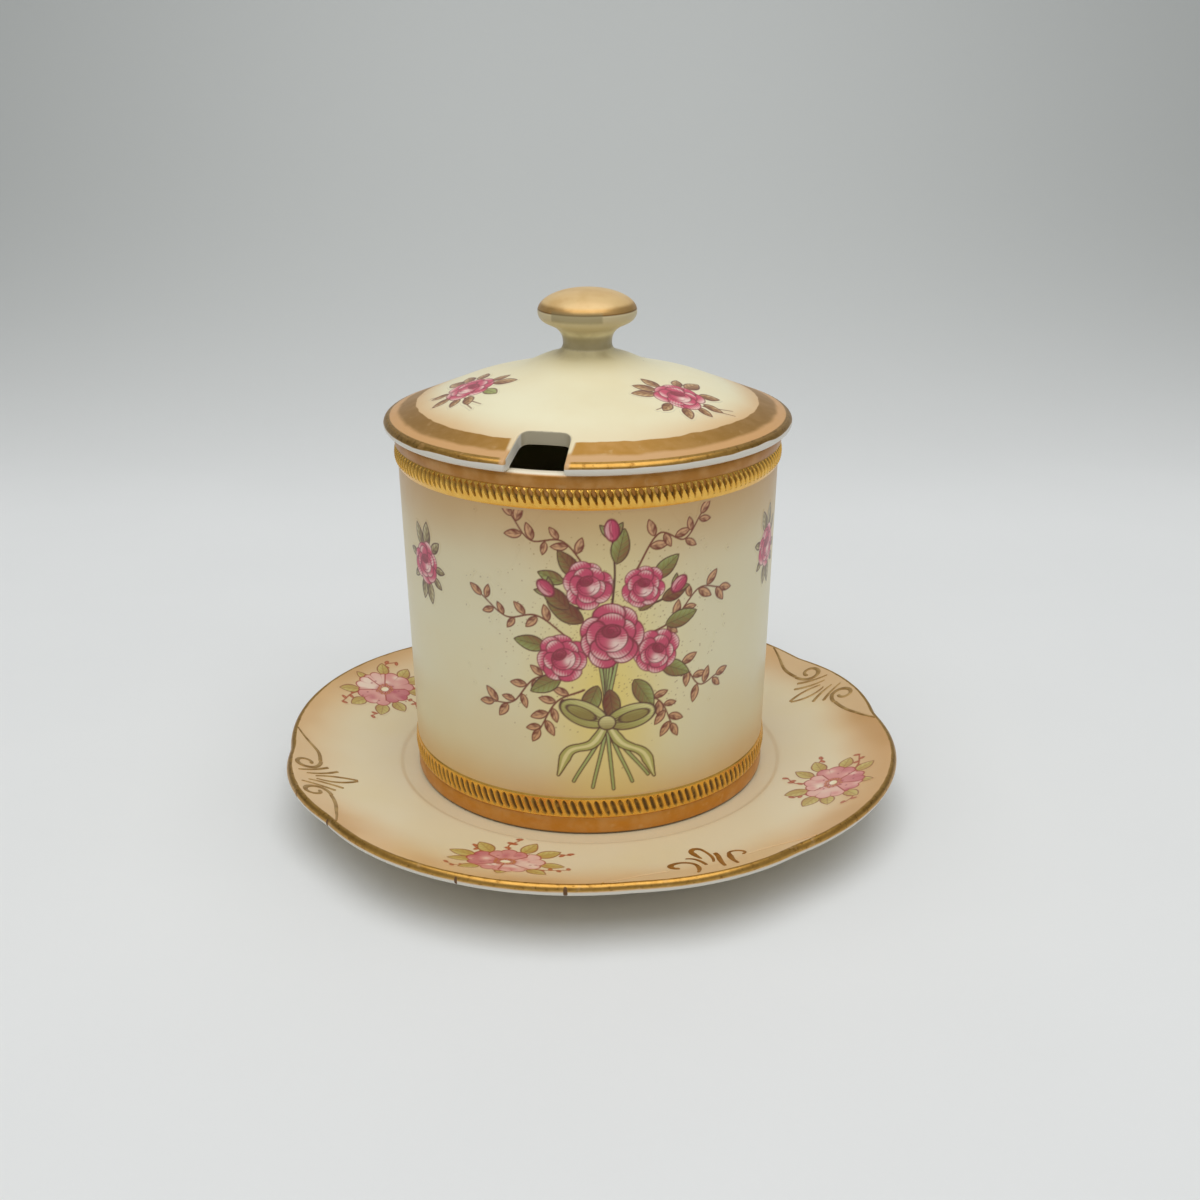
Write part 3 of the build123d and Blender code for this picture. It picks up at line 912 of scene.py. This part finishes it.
ROSE_INK = pigment(130, 12, 48)
BROWN_INK = pigment(84, 36, 16)
ORANGE_INK = pigment(172, 74, 28)
ROSE_DEEP = pigment(152, 16, 60)
ROSE_PINK = pigment(206, 66, 104)
ROSE_PALE = pigment(250, 222, 210)
LEAF_GREEN = pigment(172, 184, 112)
LEAF_OLIVE = pigment(140, 138, 66)
LEAF_BROWN = pigment(136, 92, 46)
LEAF_INK = pigment(100, 34, 24)
SPRAY_DARK = pigment(116, 42, 18)
SPRAY_PALE = pigment(216, 166, 120)
SPRAY_LEAF = (SPRAY_DARK, SPRAY_PALE, SPRAY_PALE)
SPRAY_PLUMP = 0.46
STRAW = pigment(240, 216, 116)
STRAW_INK = pigment(150, 78, 30)
PETAL_PINKS = (pigment(244, 220, 202), pigment(228, 164, 156), pigment(192, 88, 106))
PETAL_INK = pigment(168, 44, 34)
# The width of outlines, and of a small rose's as a share of its size
OUTLINE = 0.32
ROSE_LINE = 0.04
# The step of the small motifs' sheets, the length from which a leaf has side veins, and the spacing of
# the lines in a petal
FINE = 0.16
LONG_LEAF = 6.5
HATCHING = 0.6
# The height of the bouquets' middle on the pot, and the step of their sheet
PRINT_HEIGHT = 43.0
PRINT_STEP = 0.2


def edge(distance, soft=0.22):
    """1 inside a shape and 0 outside it, from the distance to its edge."""
    return np.clip(0.5 - distance / soft, 0, 1)


def tone(share, *colours):
    """A run of colours, at a share from the first to the last for each point."""
    share = np.clip(share, 0, 1) * (len(colours) - 1)
    return np.stack([np.interp(share, range(len(colours)), part) for part in zip(*colours)], axis=-1)


def oval(sheet, spot, sizes, angle, light, colours, ink=ROSE_INK, outline=OUTLINE):
    """An outlined petal, shaded from the first colour to the last in the direction of its light."""
    part, u, v = sheet.near(spot, max(sizes) + 1)
    along, across = turned(u, v, angle)
    distance = (np.hypot(along / sizes[0], across / sizes[1]) - 1) * min(sizes)
    lit = 0.5 + 0.55 * turned(u, v, light)[0] / max(sizes)
    lines = np.sin(across * 2 * np.pi / HATCHING)
    sheet.lay(part, edge(distance), tone(lit + 0.07 * lines, *colours))
    sheet.lay(part, edge(np.abs(distance) - outline / 2), ink)


def stroke(sheet, points, widths, colour):
    """A brush stroke along a smooth path, with widths that run from its start to its end."""
    path = curve(points, 0.12)
    reach = max(widths) + 1
    part, u, v = sheet.part(path.min(axis=0) - reach, path.max(axis=0) + reach)
    share = np.zeros(u.shape)
    for (a, b), width in zip(path, swelling(widths, len(path))):
        share = np.maximum(share, edge(np.hypot(u - a, v - b) - width / 2))
    sheet.lay(part, share, colour)


def leaf(sheet, base, angle, length, plump, colours, ink=BROWN_INK):
    """A pointed leaf with a midrib, side veins where it is long, and shading from its base to its tip.

    Its width is its length times plump."""
    width = length * plump
    part, u, v = sheet.near(toward(base, angle, length / 2), length / 2 + 1.2)
    along, across = turned(u, v, angle)
    along = along / length + 0.5
    inside = np.clip(along, 0, 1)
    distance = np.abs(across) - width / 2 * np.sin(np.pi * inside**0.85) ** 0.8
    distance = distance + np.maximum(np.abs(along - 0.5) - 0.5, 0) * length
    lit = 0.15 + 0.5 * inside + 0.8 * across / width
    veins = np.sin((along * length - np.abs(across) * 1.1) * 2 * np.pi / 1.5)
    sheet.lay(part, edge(distance), tone(lit + 0.14 * veins, *colours))
    sheet.lay(part, edge(np.abs(across) - 0.08) * edge(distance + 0.1) * 0.7, ink)
    if length > LONG_LEAF:
        sheet.lay(part, edge(distance + 0.3) * np.clip(veins - 0.6, 0, 1) * 0.7, ink)
    sheet.lay(part, edge(np.abs(distance) - OUTLINE / 2), ink)


def coil(spot, start, reach, turns, closing):
    """Points at turns on a spiral round a spot, which would close to it after so many degrees."""
    return [toward(spot, start + turn, reach * (1 - turn / closing)) for turn in turns]


def rose(sheet, spot, size, lean, rng):
    """A full-blown rose: two rings of petals round a cup with a pale spot and a deep heart."""
    shades = (ROSE_DEEP, ROSE_PINK, ROSE_PINK, ROSE_PALE)
    line = min(OUTLINE, size * ROSE_LINE)
    for reach, wide, count, start in ((0.64, 0.38, 7, 0), (0.43, 0.34, 5, 25)):
        for angle in np.linspace(0, 360, count, endpoint=False) + lean + start:
            angle += rng.uniform(-10, 10)
            place = toward(spot, angle, size * reach * rng.uniform(0.92, 1.08))
            sizes = size * wide * rng.uniform(0.8, 1.0), size * wide * rng.uniform(1.0, 1.25)
            oval(sheet, place, sizes, angle, angle + rng.uniform(-50, 50), shades, outline=line)
    cup = toward(spot, lean + 270, size * 0.06)
    oval(sheet, cup, (size * 0.46, size * 0.42), lean, lean - 50, shades, outline=line)
    part, u, v = sheet.near(toward(cup, lean - 55, size * 0.2), size * 0.5)
    sheet.lay(part, 0.9 * np.exp(-(np.hypot(u, v) / (size * 0.18)) ** 2), ROSE_PALE)
    for reach, start in ((0.38, 170), (0.28, 10)):
        fold = coil(cup, lean + start, size * reach, range(0, 150, 24), 500)
        stroke(sheet, fold, (0.14, line, 0.14), ROSE_DEEP)
    heart = toward(spot, lean + 95, size * 0.16)
    sizes = size * 0.26, size * 0.2
    oval(sheet, heart, sizes, lean, lean + 60, (ROSE_DEEP, ROSE_DEEP, ROSE_PINK), outline=line)
    stroke(sheet, coil(heart, lean, size * 0.18, range(0, 560, 40), 620), (line, 0.16), ROSE_INK)


def bud(sheet, spot, size, angle):
    """A closed rosebud with two sepals."""
    base = toward(spot, angle + 180, size * 0.7)
    for side in (-35, 35):
        leaf(sheet, base, angle + side, size * 1.5, 0.4, (LEAF_BROWN, LEAF_GREEN))
    oval(sheet, spot, (size * 0.85, size * 0.55), angle, angle + 90, (ROSE_DEEP, ROSE_PINK, ROSE_PALE))
    fold = [toward(spot, angle + turn, size * reach) for turn, reach in ((180, 0.5), (60, 0.2), (0, 0.7))]
    stroke(sheet, fold, (0.3, 0.15), ROSE_DEEP)


def spray(sheet, points, leaves, length, rng):
    """A curving stem with small brown leaves to either side in turn and one at its tip."""
    path = curve(points)
    stroke(sheet, points, (0.5, 0.36), SPRAY_DARK)
    for number, share in enumerate(np.linspace(0.25, 0.96, leaves)):
        place = int(share * (len(path) - 2))
        heading = np.degrees(np.arctan2(*(path[place + 1] - path[place])[::-1]))
        side = 1 if number % 2 else -1
        angle = heading + side * rng.uniform(38, 66)
        long = length * rng.uniform(0.8, 1.15)
        leaf(sheet, toward(path[place], angle, 0.3), angle, long, SPRAY_PLUMP, SPRAY_LEAF, SPRAY_DARK)
    heading = np.degrees(np.arctan2(*(path[-1] - path[-3])[::-1]))
    leaf(sheet, path[-1], heading, length, SPRAY_PLUMP, SPRAY_LEAF, SPRAY_DARK)


def stipple(sheet, spot, spread, count, rng):
    """Fine brown dots, closest together in the middle."""
    for place in rng.normal(spot, spread, (count, 2)):
        part, u, v = sheet.near(place, 0.5)
        sheet.lay(part, 0.7 * edge(np.hypot(u, v) - rng.uniform(0.06, 0.16), 0.2), SPRAY_DARK)


def wash(sheet, spot, spread, share, colour):
    """A soft cloud of thin colour."""
    part = (slice(None), slice(None))
    away = ((sheet.u - spot[0]) / spread[0]) ** 2 + ((sheet.v - spot[1]) / spread[1]) ** 2
    sheet.lay(part, np.maximum(share * np.exp(-away) - 0.02, 0), colour)


RIBBON_DARK = pigment(146, 128, 58)
RIBBON_GREEN = pigment(182, 178, 98)
RIBBON_LIGHT = pigment(232, 222, 156)


def ribbon(sheet, points, widths):
    """A ribbon with inked sides and a lit middle."""
    stroke(sheet, points, [w + 0.6 for w in widths], BROWN_INK)
    stroke(sheet, points, widths, RIBBON_GREEN)
    stroke(sheet, points, [w * 0.4 for w in widths], RIBBON_LIGHT)


def bow(sheet, spot):
    """A ribbon bow: two full loops, two trailing ends and a knot."""
    for hand, droop in ((-1, 0.0), (1, 1.2)):
        tail = [(0, 0), (3.2, -5.0), (8.4, -7.0 - droop), (11.0, -13.0 - droop)]
        ribbon(sheet, [np.add(spot, (hand * a, b)) for a, b in tail], (1.2, 2.2, 1.5, 2.3, 0.3))
        lift = 24 - 10 * droop
        angle = lift if hand > 0 else 180 - lift
        outer = (RIBBON_DARK, RIBBON_GREEN, RIBBON_LIGHT)
        inner = (RIBBON_DARK, RIBBON_DARK, RIBBON_GREEN)
        oval(sheet, toward(spot, angle, 5.6), (5.6, 2.9), angle, 60, outer, BROWN_INK)
        oval(sheet, toward(spot, angle, 6.2), (3.5, 1.3), angle, 90, inner, BROWN_INK, 0.25)
        for fan in (-14, 0, 14):
            crease = [toward(spot, angle + fan, reach) for reach in (1.5, 3.4)]
            stroke(sheet, crease, (0.3, 0.12), BROWN_INK)
    oval(sheet, spot, (1.9, 1.7), 0, 90, (RIBBON_DARK, RIBBON_LIGHT), BROWN_INK)


def bouquet():
    """A tied bunch of roses: stems and bow below, roses and leaves above, and brown sprays to the sides."""
    rng = np.random.default_rng(5)
    sheet = Sheet(-33, 33, LOWER_TOP - PRINT_HEIGHT + 0.2, UPPER_LOW - PRINT_HEIGHT - 0.2, PRINT_STEP)
    wash(sheet, (0, -8), (13, 26), 0.95, STRAW)
    stipple(sheet, (0, 6), (12, 11), 900, rng)
    for foot, bend in ((-7.5, -3), (-3.2, -1), (1.5, 0.4), (5.8, 2), (9.5, 4)):
        stem = [(bend * 0.6, 2), (bend * 0.15, -15), (foot, -32 + abs(foot) * 0.35)]
        stroke(sheet, stem, (0.9, 1.15, 0.95), BROWN_INK)
        stroke(sheet, stem, (0.4, 0.6, 0.45), LEAF_GREEN)
    for points in (
        [(-8, 5), (-15, 10), (-22, 9), (-28, 13)],
        [(-9, -3), (-16, -5), (-21, -11), (-26, -12)],
        [(8, 5), (15, 8), (21, 14), (27, 13)],
        [(10, -3), (17, -3), (22, -9), (27, -8)],
        [(-3, 19), (-9, 27), (-16, 27), (-20, 32)],
        [(6, 20), (11, 28), (17, 26), (21, 31)],
        [(-5, -7), (-11, -10), (-15, -17)],
        [(6, -8), (12, -11), (15, -17)],
    ):
        spray(sheet, points, 7, 3.7, rng)
    for points in (
        [(-5, 12), (-9, 13), (-12, 15.5)],
        [(8, 12), (12, 13), (15, 15)],
        [(1, 12), (1.6, 20), (1, 28)],
    ):
        stroke(sheet, points, (0.6, 0.45), BROWN_INK)
    for base, angle, length in (
        ((-5, 9), 150, 9), ((-6, 19), 125, 7.5), ((2, 22), 78, 8), ((10, 18), 40, 7.5),
        ((13, 7), 15, 8), ((12, -2), -25, 8), ((6, -5), -58, 8.5), ((-2, -6), -112, 8.5),
        ((-10, -4), -150, 8), ((-13, 3), 172, 7.5), ((-8, 12), 140, 8), ((7, 11), 55, 8),
        ((0.5, -7), -82, 8), ((-9, 18), 160, 6), ((12, 13), 20, 6.5),
    ):
        green = rng.random() < 0.75
        shades = (LEAF_BROWN, LEAF_OLIVE, LEAF_GREEN) if green else (SPRAY_DARK, LEAF_BROWN, LEAF_OLIVE)
        leaf(sheet, base, angle, length, 0.48, shades)
    for spot, size, angle in (((-13, 16.5), 2.6, 135), ((16, 16), 2.6, 45), ((1, 29.5), 2.8, 95)):
        bud(sheet, spot, size, angle)
    for spot, size, lean in (
        ((-4, 17.5), 5.4, 20), ((7.8, 16.5), 4.9, -10),
        ((-9.6, 0.5), 5.8, 35), ((11, 1), 5.4, -30), ((1, 5.5), 7.6, 0),
    ):
        rose(sheet, spot, size, lean, rng)
    bow(sheet, (0, -15))
    return sheet


def pot_sprig():
    """A rose among pale leaves."""
    rng = np.random.default_rng(9)
    sheet = Sheet(-8, 8, -11, 11, FINE)
    shades = (pigment(104, 78, 46), pigment(168, 150, 100), pigment(222, 214, 172))
    for base, angle, length in (
        ((-1.0, 3.6), 112, 5.6), ((0.8, 3.8), 84, 6.0), ((2.8, 3.0), 42, 4.2),
        ((4.0, -0.6), -4, 3.4), ((3.2, -2.8), -36, 3.6), ((-3.8, 1.0), 168, 3.4),
        ((-0.6, -3.8), -100, 5.2), ((0.9, -3.9), -78, 5.6), ((-3.2, -2.6), -142, 3.2),
    ):
        leaf(sheet, base, angle, length, 0.5, shades)
    rose(sheet, (0, 0), 5.0, 10, rng)
    return sheet


TAUPE_LEAF = (pigment(116, 64, 36), pigment(176, 130, 84), pigment(224, 198, 150))
GREEN_LEAF = (LEAF_OLIVE, LEAF_GREEN)


def lid_sprig(side_leaf):
    """A rose among broad taupe leaves, with one leaf in colours of its own, and little twigs."""
    rng = np.random.default_rng(13)
    sheet = Sheet(-13, 13, -11, 11, FINE)
    for points in (
        [(4, -4), (7, -5.6), (10.5, -6.5)],
        [(4, -4), (8, -4.4), (11, -4.4)],
        [(-4, -4), (-8, -5.6)],
    ):
        stroke(sheet, points, (0.4, 0.24), SPRAY_DARK)
    for base, angle, length in (
        ((-4.8, 1.0), 172, 5.8), ((-4.2, 2.8), 150, 5.2), ((-2.6, 4.4), 124, 4.8), ((1.8, 4.6), 66, 4.4),
        ((3.6, 3.8), 36, 5.8), ((4.4, -3.2), -36, 4.4), ((-0.8, -4.8), -98, 4.4), ((2.4, -4.6), -62, 3.8),
        ((-3.6, -3.4), -138, 4.0),
    ):
        leaf(sheet, base, angle, length, 0.54, TAUPE_LEAF, LEAF_INK)
    leaf(sheet, (5.2, 0.6), -4, 5.0, 0.54, side_leaf, LEAF_INK)
    rose(sheet, (0, 0), 5.7, -15, rng)
    return sheet


def petal(sheet, angle, length, half, flush, rng):
    """A broad petal from the sheet's middle with a ruffled, inked edge and a clouded flush."""
    part, u, v = sheet.near((0, 0), length + 1.5)
    reach = np.hypot(u, v)
    share = ((np.degrees(np.arctan2(v, u)) - angle + 180) % 360 - 180) / half
    ruffle = 1 - np.abs(np.cos(1.5 * np.pi * share)) ** 0.8
    tip = length * (1 - 0.1 * ruffle - 0.12 * share**2)
    distance = np.maximum(reach - tip, (np.abs(share) - 1) * math.radians(half) * reach)
    cloud = np.zeros(u.shape)
    for spot in rng.normal(toward((0, 0), angle, length * 0.6), length * 0.22, (7, 2)):
        cloud += rng.uniform(-0.5, 0.4) * np.exp(-np.hypot(u - spot[0], v - spot[1]) ** 2)
    sheet.lay(part, edge(distance), tone(flush + 0.3 * reach / tip + cloud, *PETAL_PINKS))
    folds = np.clip(ruffle - 0.75, 0, 1) * 4 * np.clip(reach / tip - 0.6, 0, 1) * 2
    sheet.lay(part, edge(distance) * folds, PETAL_INK)
    sheet.lay(part, edge(np.abs(distance) - OUTLINE / 2), PETAL_INK)


def plate_spray(seed, deep):
    """An open dog rose, deepest in one direction, between yellow-green leaves and orange twigs."""
    rng = np.random.default_rng(seed)
    sheet = Sheet(-15, 15, -11, 13, FINE)
    straw_leaf = (pigment(186, 152, 78), pigment(198, 176, 96), pigment(214, 200, 132))
    bud_pink = pigment(222, 150, 104)
    for points in (
        [(5, 4), (9, 6), (13.5, 5.6)],
        [(5, -3), (9, -4), (14, -3.2)],
        [(-5, 4), (-8, 7.4)],
        [(0, 6), (-0.6, 9), (1.4, 11.4)],
        [(-4, -4), (-9, -6.5), (-12, -5.5)],
    ):
        stroke(sheet, points, (0.46, 0.34), ORANGE_INK)
        path = curve(points)
        for number, share in enumerate((0.4, 0.6, 0.8, 1.0)):
            place = path[int(share * (len(path) - 1))] + (0.0, 0.6 if number % 2 else -0.6)
            oval(sheet, place, (0.6, 0.36), rng.uniform(0, 180), 90, (ORANGE_INK, bud_pink), ORANGE_INK, 0.3)
    for base, angle, length in (
        ((-7.0, 2.2), 162, 6.2), ((-7.2, -0.2), 194, 5.4), ((-5.0, -4.0), 222, 5.2), ((-3.8, 5.0), 126, 6.0),
        ((3.0, 5.4), 64, 5.6), ((6.0, 4.0), 30, 6.0), ((7.6, -0.6), -6, 5.4), ((5.4, -4.2), -38, 5.4),
        ((0.2, -5.4), -95, 4.0),
    ):
        leaf(sheet, base, angle, length, 0.6, straw_leaf, STRAW_INK)
    for angle, length, half in ((240, 7.4, 40), (304, 7.6, 40), (174, 8.6, 42), (6, 8.6, 42), (90, 6.9, 50)):
        petal(sheet, angle, length, half, 0.3 + 0.3 * math.cos(math.radians(angle - deep)), rng)
    part, u, v = sheet.near((0, 0), 4.5)
    sheet.lay(part, 0.6 * np.exp(-(((np.hypot(u, v / 0.8) - 2.2) / 0.8) ** 2)), PETAL_PINKS[-1])
    for place in rng.normal((0, 0), (4.6, 2.8), (12, 2)):
        part, u, v = sheet.near(place, 0.8)
        sheet.lay(part, 0.75 * edge(np.hypot(u * 0.7, v) - 0.24), pigment(170, 66, 86))
    for angle in range(0, 360, 24):
        tip = toward((0, 0), angle, rng.uniform(1.9, 2.7)) * (1.0, 0.75)
        stroke(sheet, [(0, 0), tip * 0.5, tip], (0.2, 0.2), ORANGE_INK)
        oval(sheet, tip, (0.34, 0.3), 0, 90, (ORANGE_INK, pigment(232, 170, 110)), ORANGE_INK, 0.12)
    oval(sheet, (0, 0), (1.3, 1.0), 0, 90, (pigment(240, 222, 168), pigment(252, 246, 230)), ORANGE_INK, 0.22)
    return sheet


# Enamelled patches


def grown(cells, steps):
    """Cells with their neighbours, so many steps out, and with no two that meet at a corner alone."""
    for _ in range(steps):
        wide = np.pad(cells, 1)
        cells = wide[1:-1, 1:-1] | wide[:-2, 1:-1] | wide[2:, 1:-1] | wide[1:-1, :-2] | wide[1:-1, 2:]
    while True:
        a, b, c, d = cells[:-1, :-1], cells[1:, 1:], cells[:-1, 1:], cells[1:, :-1]
        clash = (a & b & ~c & ~d) | (c & d & ~a & ~b)
        if not clash.any():
            return cells
        for rows in (slice(None, -1), slice(1, None)):
            for columns in (slice(None, -1), slice(1, None)):
                cells[rows, columns] |= clash


# How far a patch stands above the surface that it lies on, and how deep it goes below
PATCH_LIFT = 0.045
PATCH_BURIED = 0.15


def make_patch(name, sheet, place, body, material):
    """A thin closed patch that carries a painted sheet. Place gives points from the sheet's coordinates."""
    painted = sheet.cover > 0.01
    cells = painted[:-1, :-1] | painted[1:, :-1] | painted[:-1, 1:] | painted[1:, 1:]
    cells = grown(cells, 2)
    cells[[0, -1]] = False
    cells[:, [0, -1]] = False
    row, column = np.nonzero(cells)
    width = sheet.u.shape[1]
    first = row * width + column
    corners = np.column_stack([first, first + 1, first + width + 1, first + width])
    used, faces = np.unique(corners, return_inverse=True)
    faces = faces.reshape(corners.shape)
    count = len(used)
    sides = []
    for side, (down, right) in enumerate(((-1, 0), (0, 1), (1, 0), (0, -1))):
        bare = ~cells[row + down, column + right]
        start, end = faces[bare, side], faces[bare, (side + 1) % 4]
        sides.append(np.column_stack([start, end, end + count, start + count]))
    u, v = sheet.u.ravel()[used], sheet.v.ravel()[used]
    vertices = np.vstack([place(u, v, PATCH_LIFT), place(u, v, -PATCH_BURIED)])
    every = np.vstack([faces, faces[:, ::-1] + count] + sides)
    patch = add_mesh(name, vertices, every.tolist(), body, material)
    shares = np.column_stack([u - u.min(), v - v.min()]) / (np.ptp(u), np.ptp(v))
    lay_out(patch, shares, len(faces))
    give(patch, "cover", np.tile(sheet.cover.ravel()[used], 2))
    enamel = patch.data.attributes.new("enamel", "FLOAT_COLOR", "POINT")
    colours = np.column_stack([sheet.colour.reshape(-1, 3)[used], np.ones(count)])
    enamel.data.foreach_set("color", np.tile(colours, (2, 1)).astype(np.float32).ravel())
    if body == "underplate":
        give_rim(patch)


def lay_out(patch, shares, upper_faces):
    """Spreads the painted side over most of the texture space, and the hidden sides over a strip of it."""
    mesh = patch.data
    layer = mesh.uv_layers.new(name="OFBake")
    corner_vertex = np.empty(len(mesh.loops), np.int32)
    mesh.loops.foreach_get("vertex_index", corner_vertex)
    upper = np.arange(len(mesh.loops)) < upper_faces * 4
    spread = shares[corner_vertex % len(shares)]
    height = np.where(upper, 0.01 + 0.85 * spread[:, 1], 0.9 + 0.09 * spread[:, 1])
    places = np.column_stack([0.01 + 0.98 * spread[:, 0], height])
    layer.data.foreach_set("uv", places.astype(np.float32).ravel())


def on_pot(turn, height):
    """Places sheet coordinates on the pot's wall."""

    def place(u, v, offset):
        level = height + v
        return points_at(wall(level) + offset, turn + np.degrees(u / wall(height)), level + SEAT)

    return place


def on_flat(turn, radius, tilt, surface):
    """Places sheet coordinates, turned by a tilt, on a surface whose height depends on the radius."""

    def place(u, v, offset):
        side, inward = turned(u, v, -tilt)
        right, forward = turned(side, radius - inward, turn)
        return np.column_stack([right, -forward, surface(np.hypot(right, forward)) + offset])

    return place


# On the pot, the turn and height of a motif. On the lid and the underplate, its turn, radius and tilt, and
# then the colours of a side leaf or the direction in which a dog rose is deepest.
BOUQUETS = (("bouquet_front", 5.0), ("bouquet_back", 185.0))
POT_SPRIGS = ((-56.1, 59.0), (67.3, 60.0), (123.3, 59.0), (-113.3, 60.0))
LID_SPRIGS = (
    (-72.8, 27.7, 20.0, GREEN_LEAF),
    (47.7, 26.9, -25.0, TAUPE_LEAF),
    (167.0, 27.3, 0.0, TAUPE_LEAF),
)
PLATE_SPRAYS = (
    (-119.6, 63.9, 0.0, 90),
    (-17.8, 60.3, 12.0, 160),
    (68.1, 62.2, 0.0, -50),
    (157.0, 62.0, 0.0, 200),
)


def make_motifs():
    """Every painted patch, in its place."""
    print_sheet, pot_sheet = bouquet(), pot_sprig()
    for name, turn in BOUQUETS:
        make_patch(name, print_sheet, on_pot(turn, PRINT_HEIGHT), "pot", pot_enamel)
    for number, place in enumerate(POT_SPRIGS):
        make_patch(f"pot_sprig_{number}", pot_sheet, on_pot(*place), "pot", pot_enamel)
    for number, (*place, side_leaf) in enumerate(LID_SPRIGS):
        spots = on_flat(*place, lid_upper)
        make_patch(f"lid_sprig_{number}", lid_sprig(side_leaf), spots, "lid", lid_enamel)
    for number, (*place, deep) in enumerate(PLATE_SPRAYS):
        spots = on_flat(*place, plate_upper)
        make_patch(f"plate_spray_{number}", plate_spray(17 + number, deep), spots, "underplate", plate_enamel)


# Stage


def make_camera():
    """The camera at the photograph's place and angle."""
    data = bpy.data.cameras.new("camera")
    data.lens = CAMERA_LENS
    data.sensor_width = SENSOR
    camera = add_object("camera", data)
    swung = Matrix.Rotation(math.radians(-CAMERA_YAW), 4, "Z")
    tipped = Matrix.Rotation(math.radians(90 - CAMERA_PITCH), 4, "X")
    rolled = Matrix.Rotation(math.radians(CAMERA_ROLL), 4, "Z")
    place = Matrix.Translation(Vector((0, -CAMERA_BACK, CAMERA_UP)) * MM)
    camera.matrix_world = place @ swung @ tipped @ rolled
    bpy.context.scene.camera = camera


def make_stage():
    """A pale paper sweep: floor, bend and upright back."""
    half_width = 3.0
    bend_start, bend_radius = 0.3, 0.34
    points = [(-2.5, 0.0), (-1.0, 0.0), (0.0, 0.0), (bend_start, 0.0)]
    for angle in np.radians(np.linspace(0, 90, 25)[1:]):
        points.append((bend_start + bend_radius * math.sin(angle), bend_radius * (1 - math.cos(angle))))
    points.append((bend_start + bend_radius, 2.5))
    vertices, faces = [], []
    for i, (y, z) in enumerate(points):
        vertices += [(-half_width, y, z), (half_width, y, z)]
        if i:
            faces.append((2 * i - 2, 2 * i - 1, 2 * i + 1, 2 * i))
    mesh = bpy.data.meshes.new("paper")
    mesh.from_pydata(vertices, [], faces)
    mesh.shade_smooth()
    paint = Paint("paper")
    front = paint.mix(paint.noise(60.0, 4.0, 51.0), srgb(231, 233, 234), srgb(235, 237, 238))
    # The upright back is painted darker than the floor, and darker still towards its sides: painted shade.
    back = paint.mix(abs(paint.x).rise(40.0, 480.0), srgb(194, 197, 196), srgb(168, 171, 170))
    coats = Coats(paint, paint.mix(paint.y.rise(190.0, 560.0), front, back), 0.8)
    mesh.materials.append(paint.finish(coats, paint.noise(1.2, 3.0, 52.0), 0.02))
    sweep = add_object("paper", mesh)


def make_light():
    """An even pale room and one broad soft box overhead."""
    world = bpy.data.worlds.new("room")
    bpy.context.scene.world = world
    world.use_nodes = True
    room = world.node_tree.nodes["Background"]
    room.inputs["Color"].default_value = ROOM_COLOUR
    room.inputs["Strength"].default_value = ROOM_STRENGTH
    data = bpy.data.lights.new("overhead", "AREA")
    data.shape = "SQUARE"
    data.size = LAMP_SIZE
    data.energy = LAMP_POWER
    data.color = LAMP_COLOUR
    lamp = add_object("overhead", data)
    lamp.location = LAMP_PLACE
    lamp.rotation_mode = "QUATERNION"
    lamp.rotation_quaternion = (LAMP_TARGET - LAMP_PLACE).to_track_quat("-Z", "Y")
    bpy.context.scene.view_settings.view_transform = "Standard"


make_plate()
make_pot()
upper_band = (UPPER_LOW, UPPER_BAND_HEIGHT, UPPER_BAND_PROUD, UPPER_REEDS)
lower_band = (FOOT_BAND_HEIGHT, LOWER_BAND_HEIGHT, LOWER_BAND_PROUD, LOWER_REEDS)
make_band("upper_gilded_band", *upper_band, leaning_reeds, upper_gilt_material)
make_band("lower_gilded_band", *lower_band, sunk_flutes, lower_gilt_material)
make_scrolls()
make_motifs()
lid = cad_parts["lid"]
lid.data.materials.clear()
lid.data.materials.append(lid_material)
make_camera()
make_stage()
make_light()
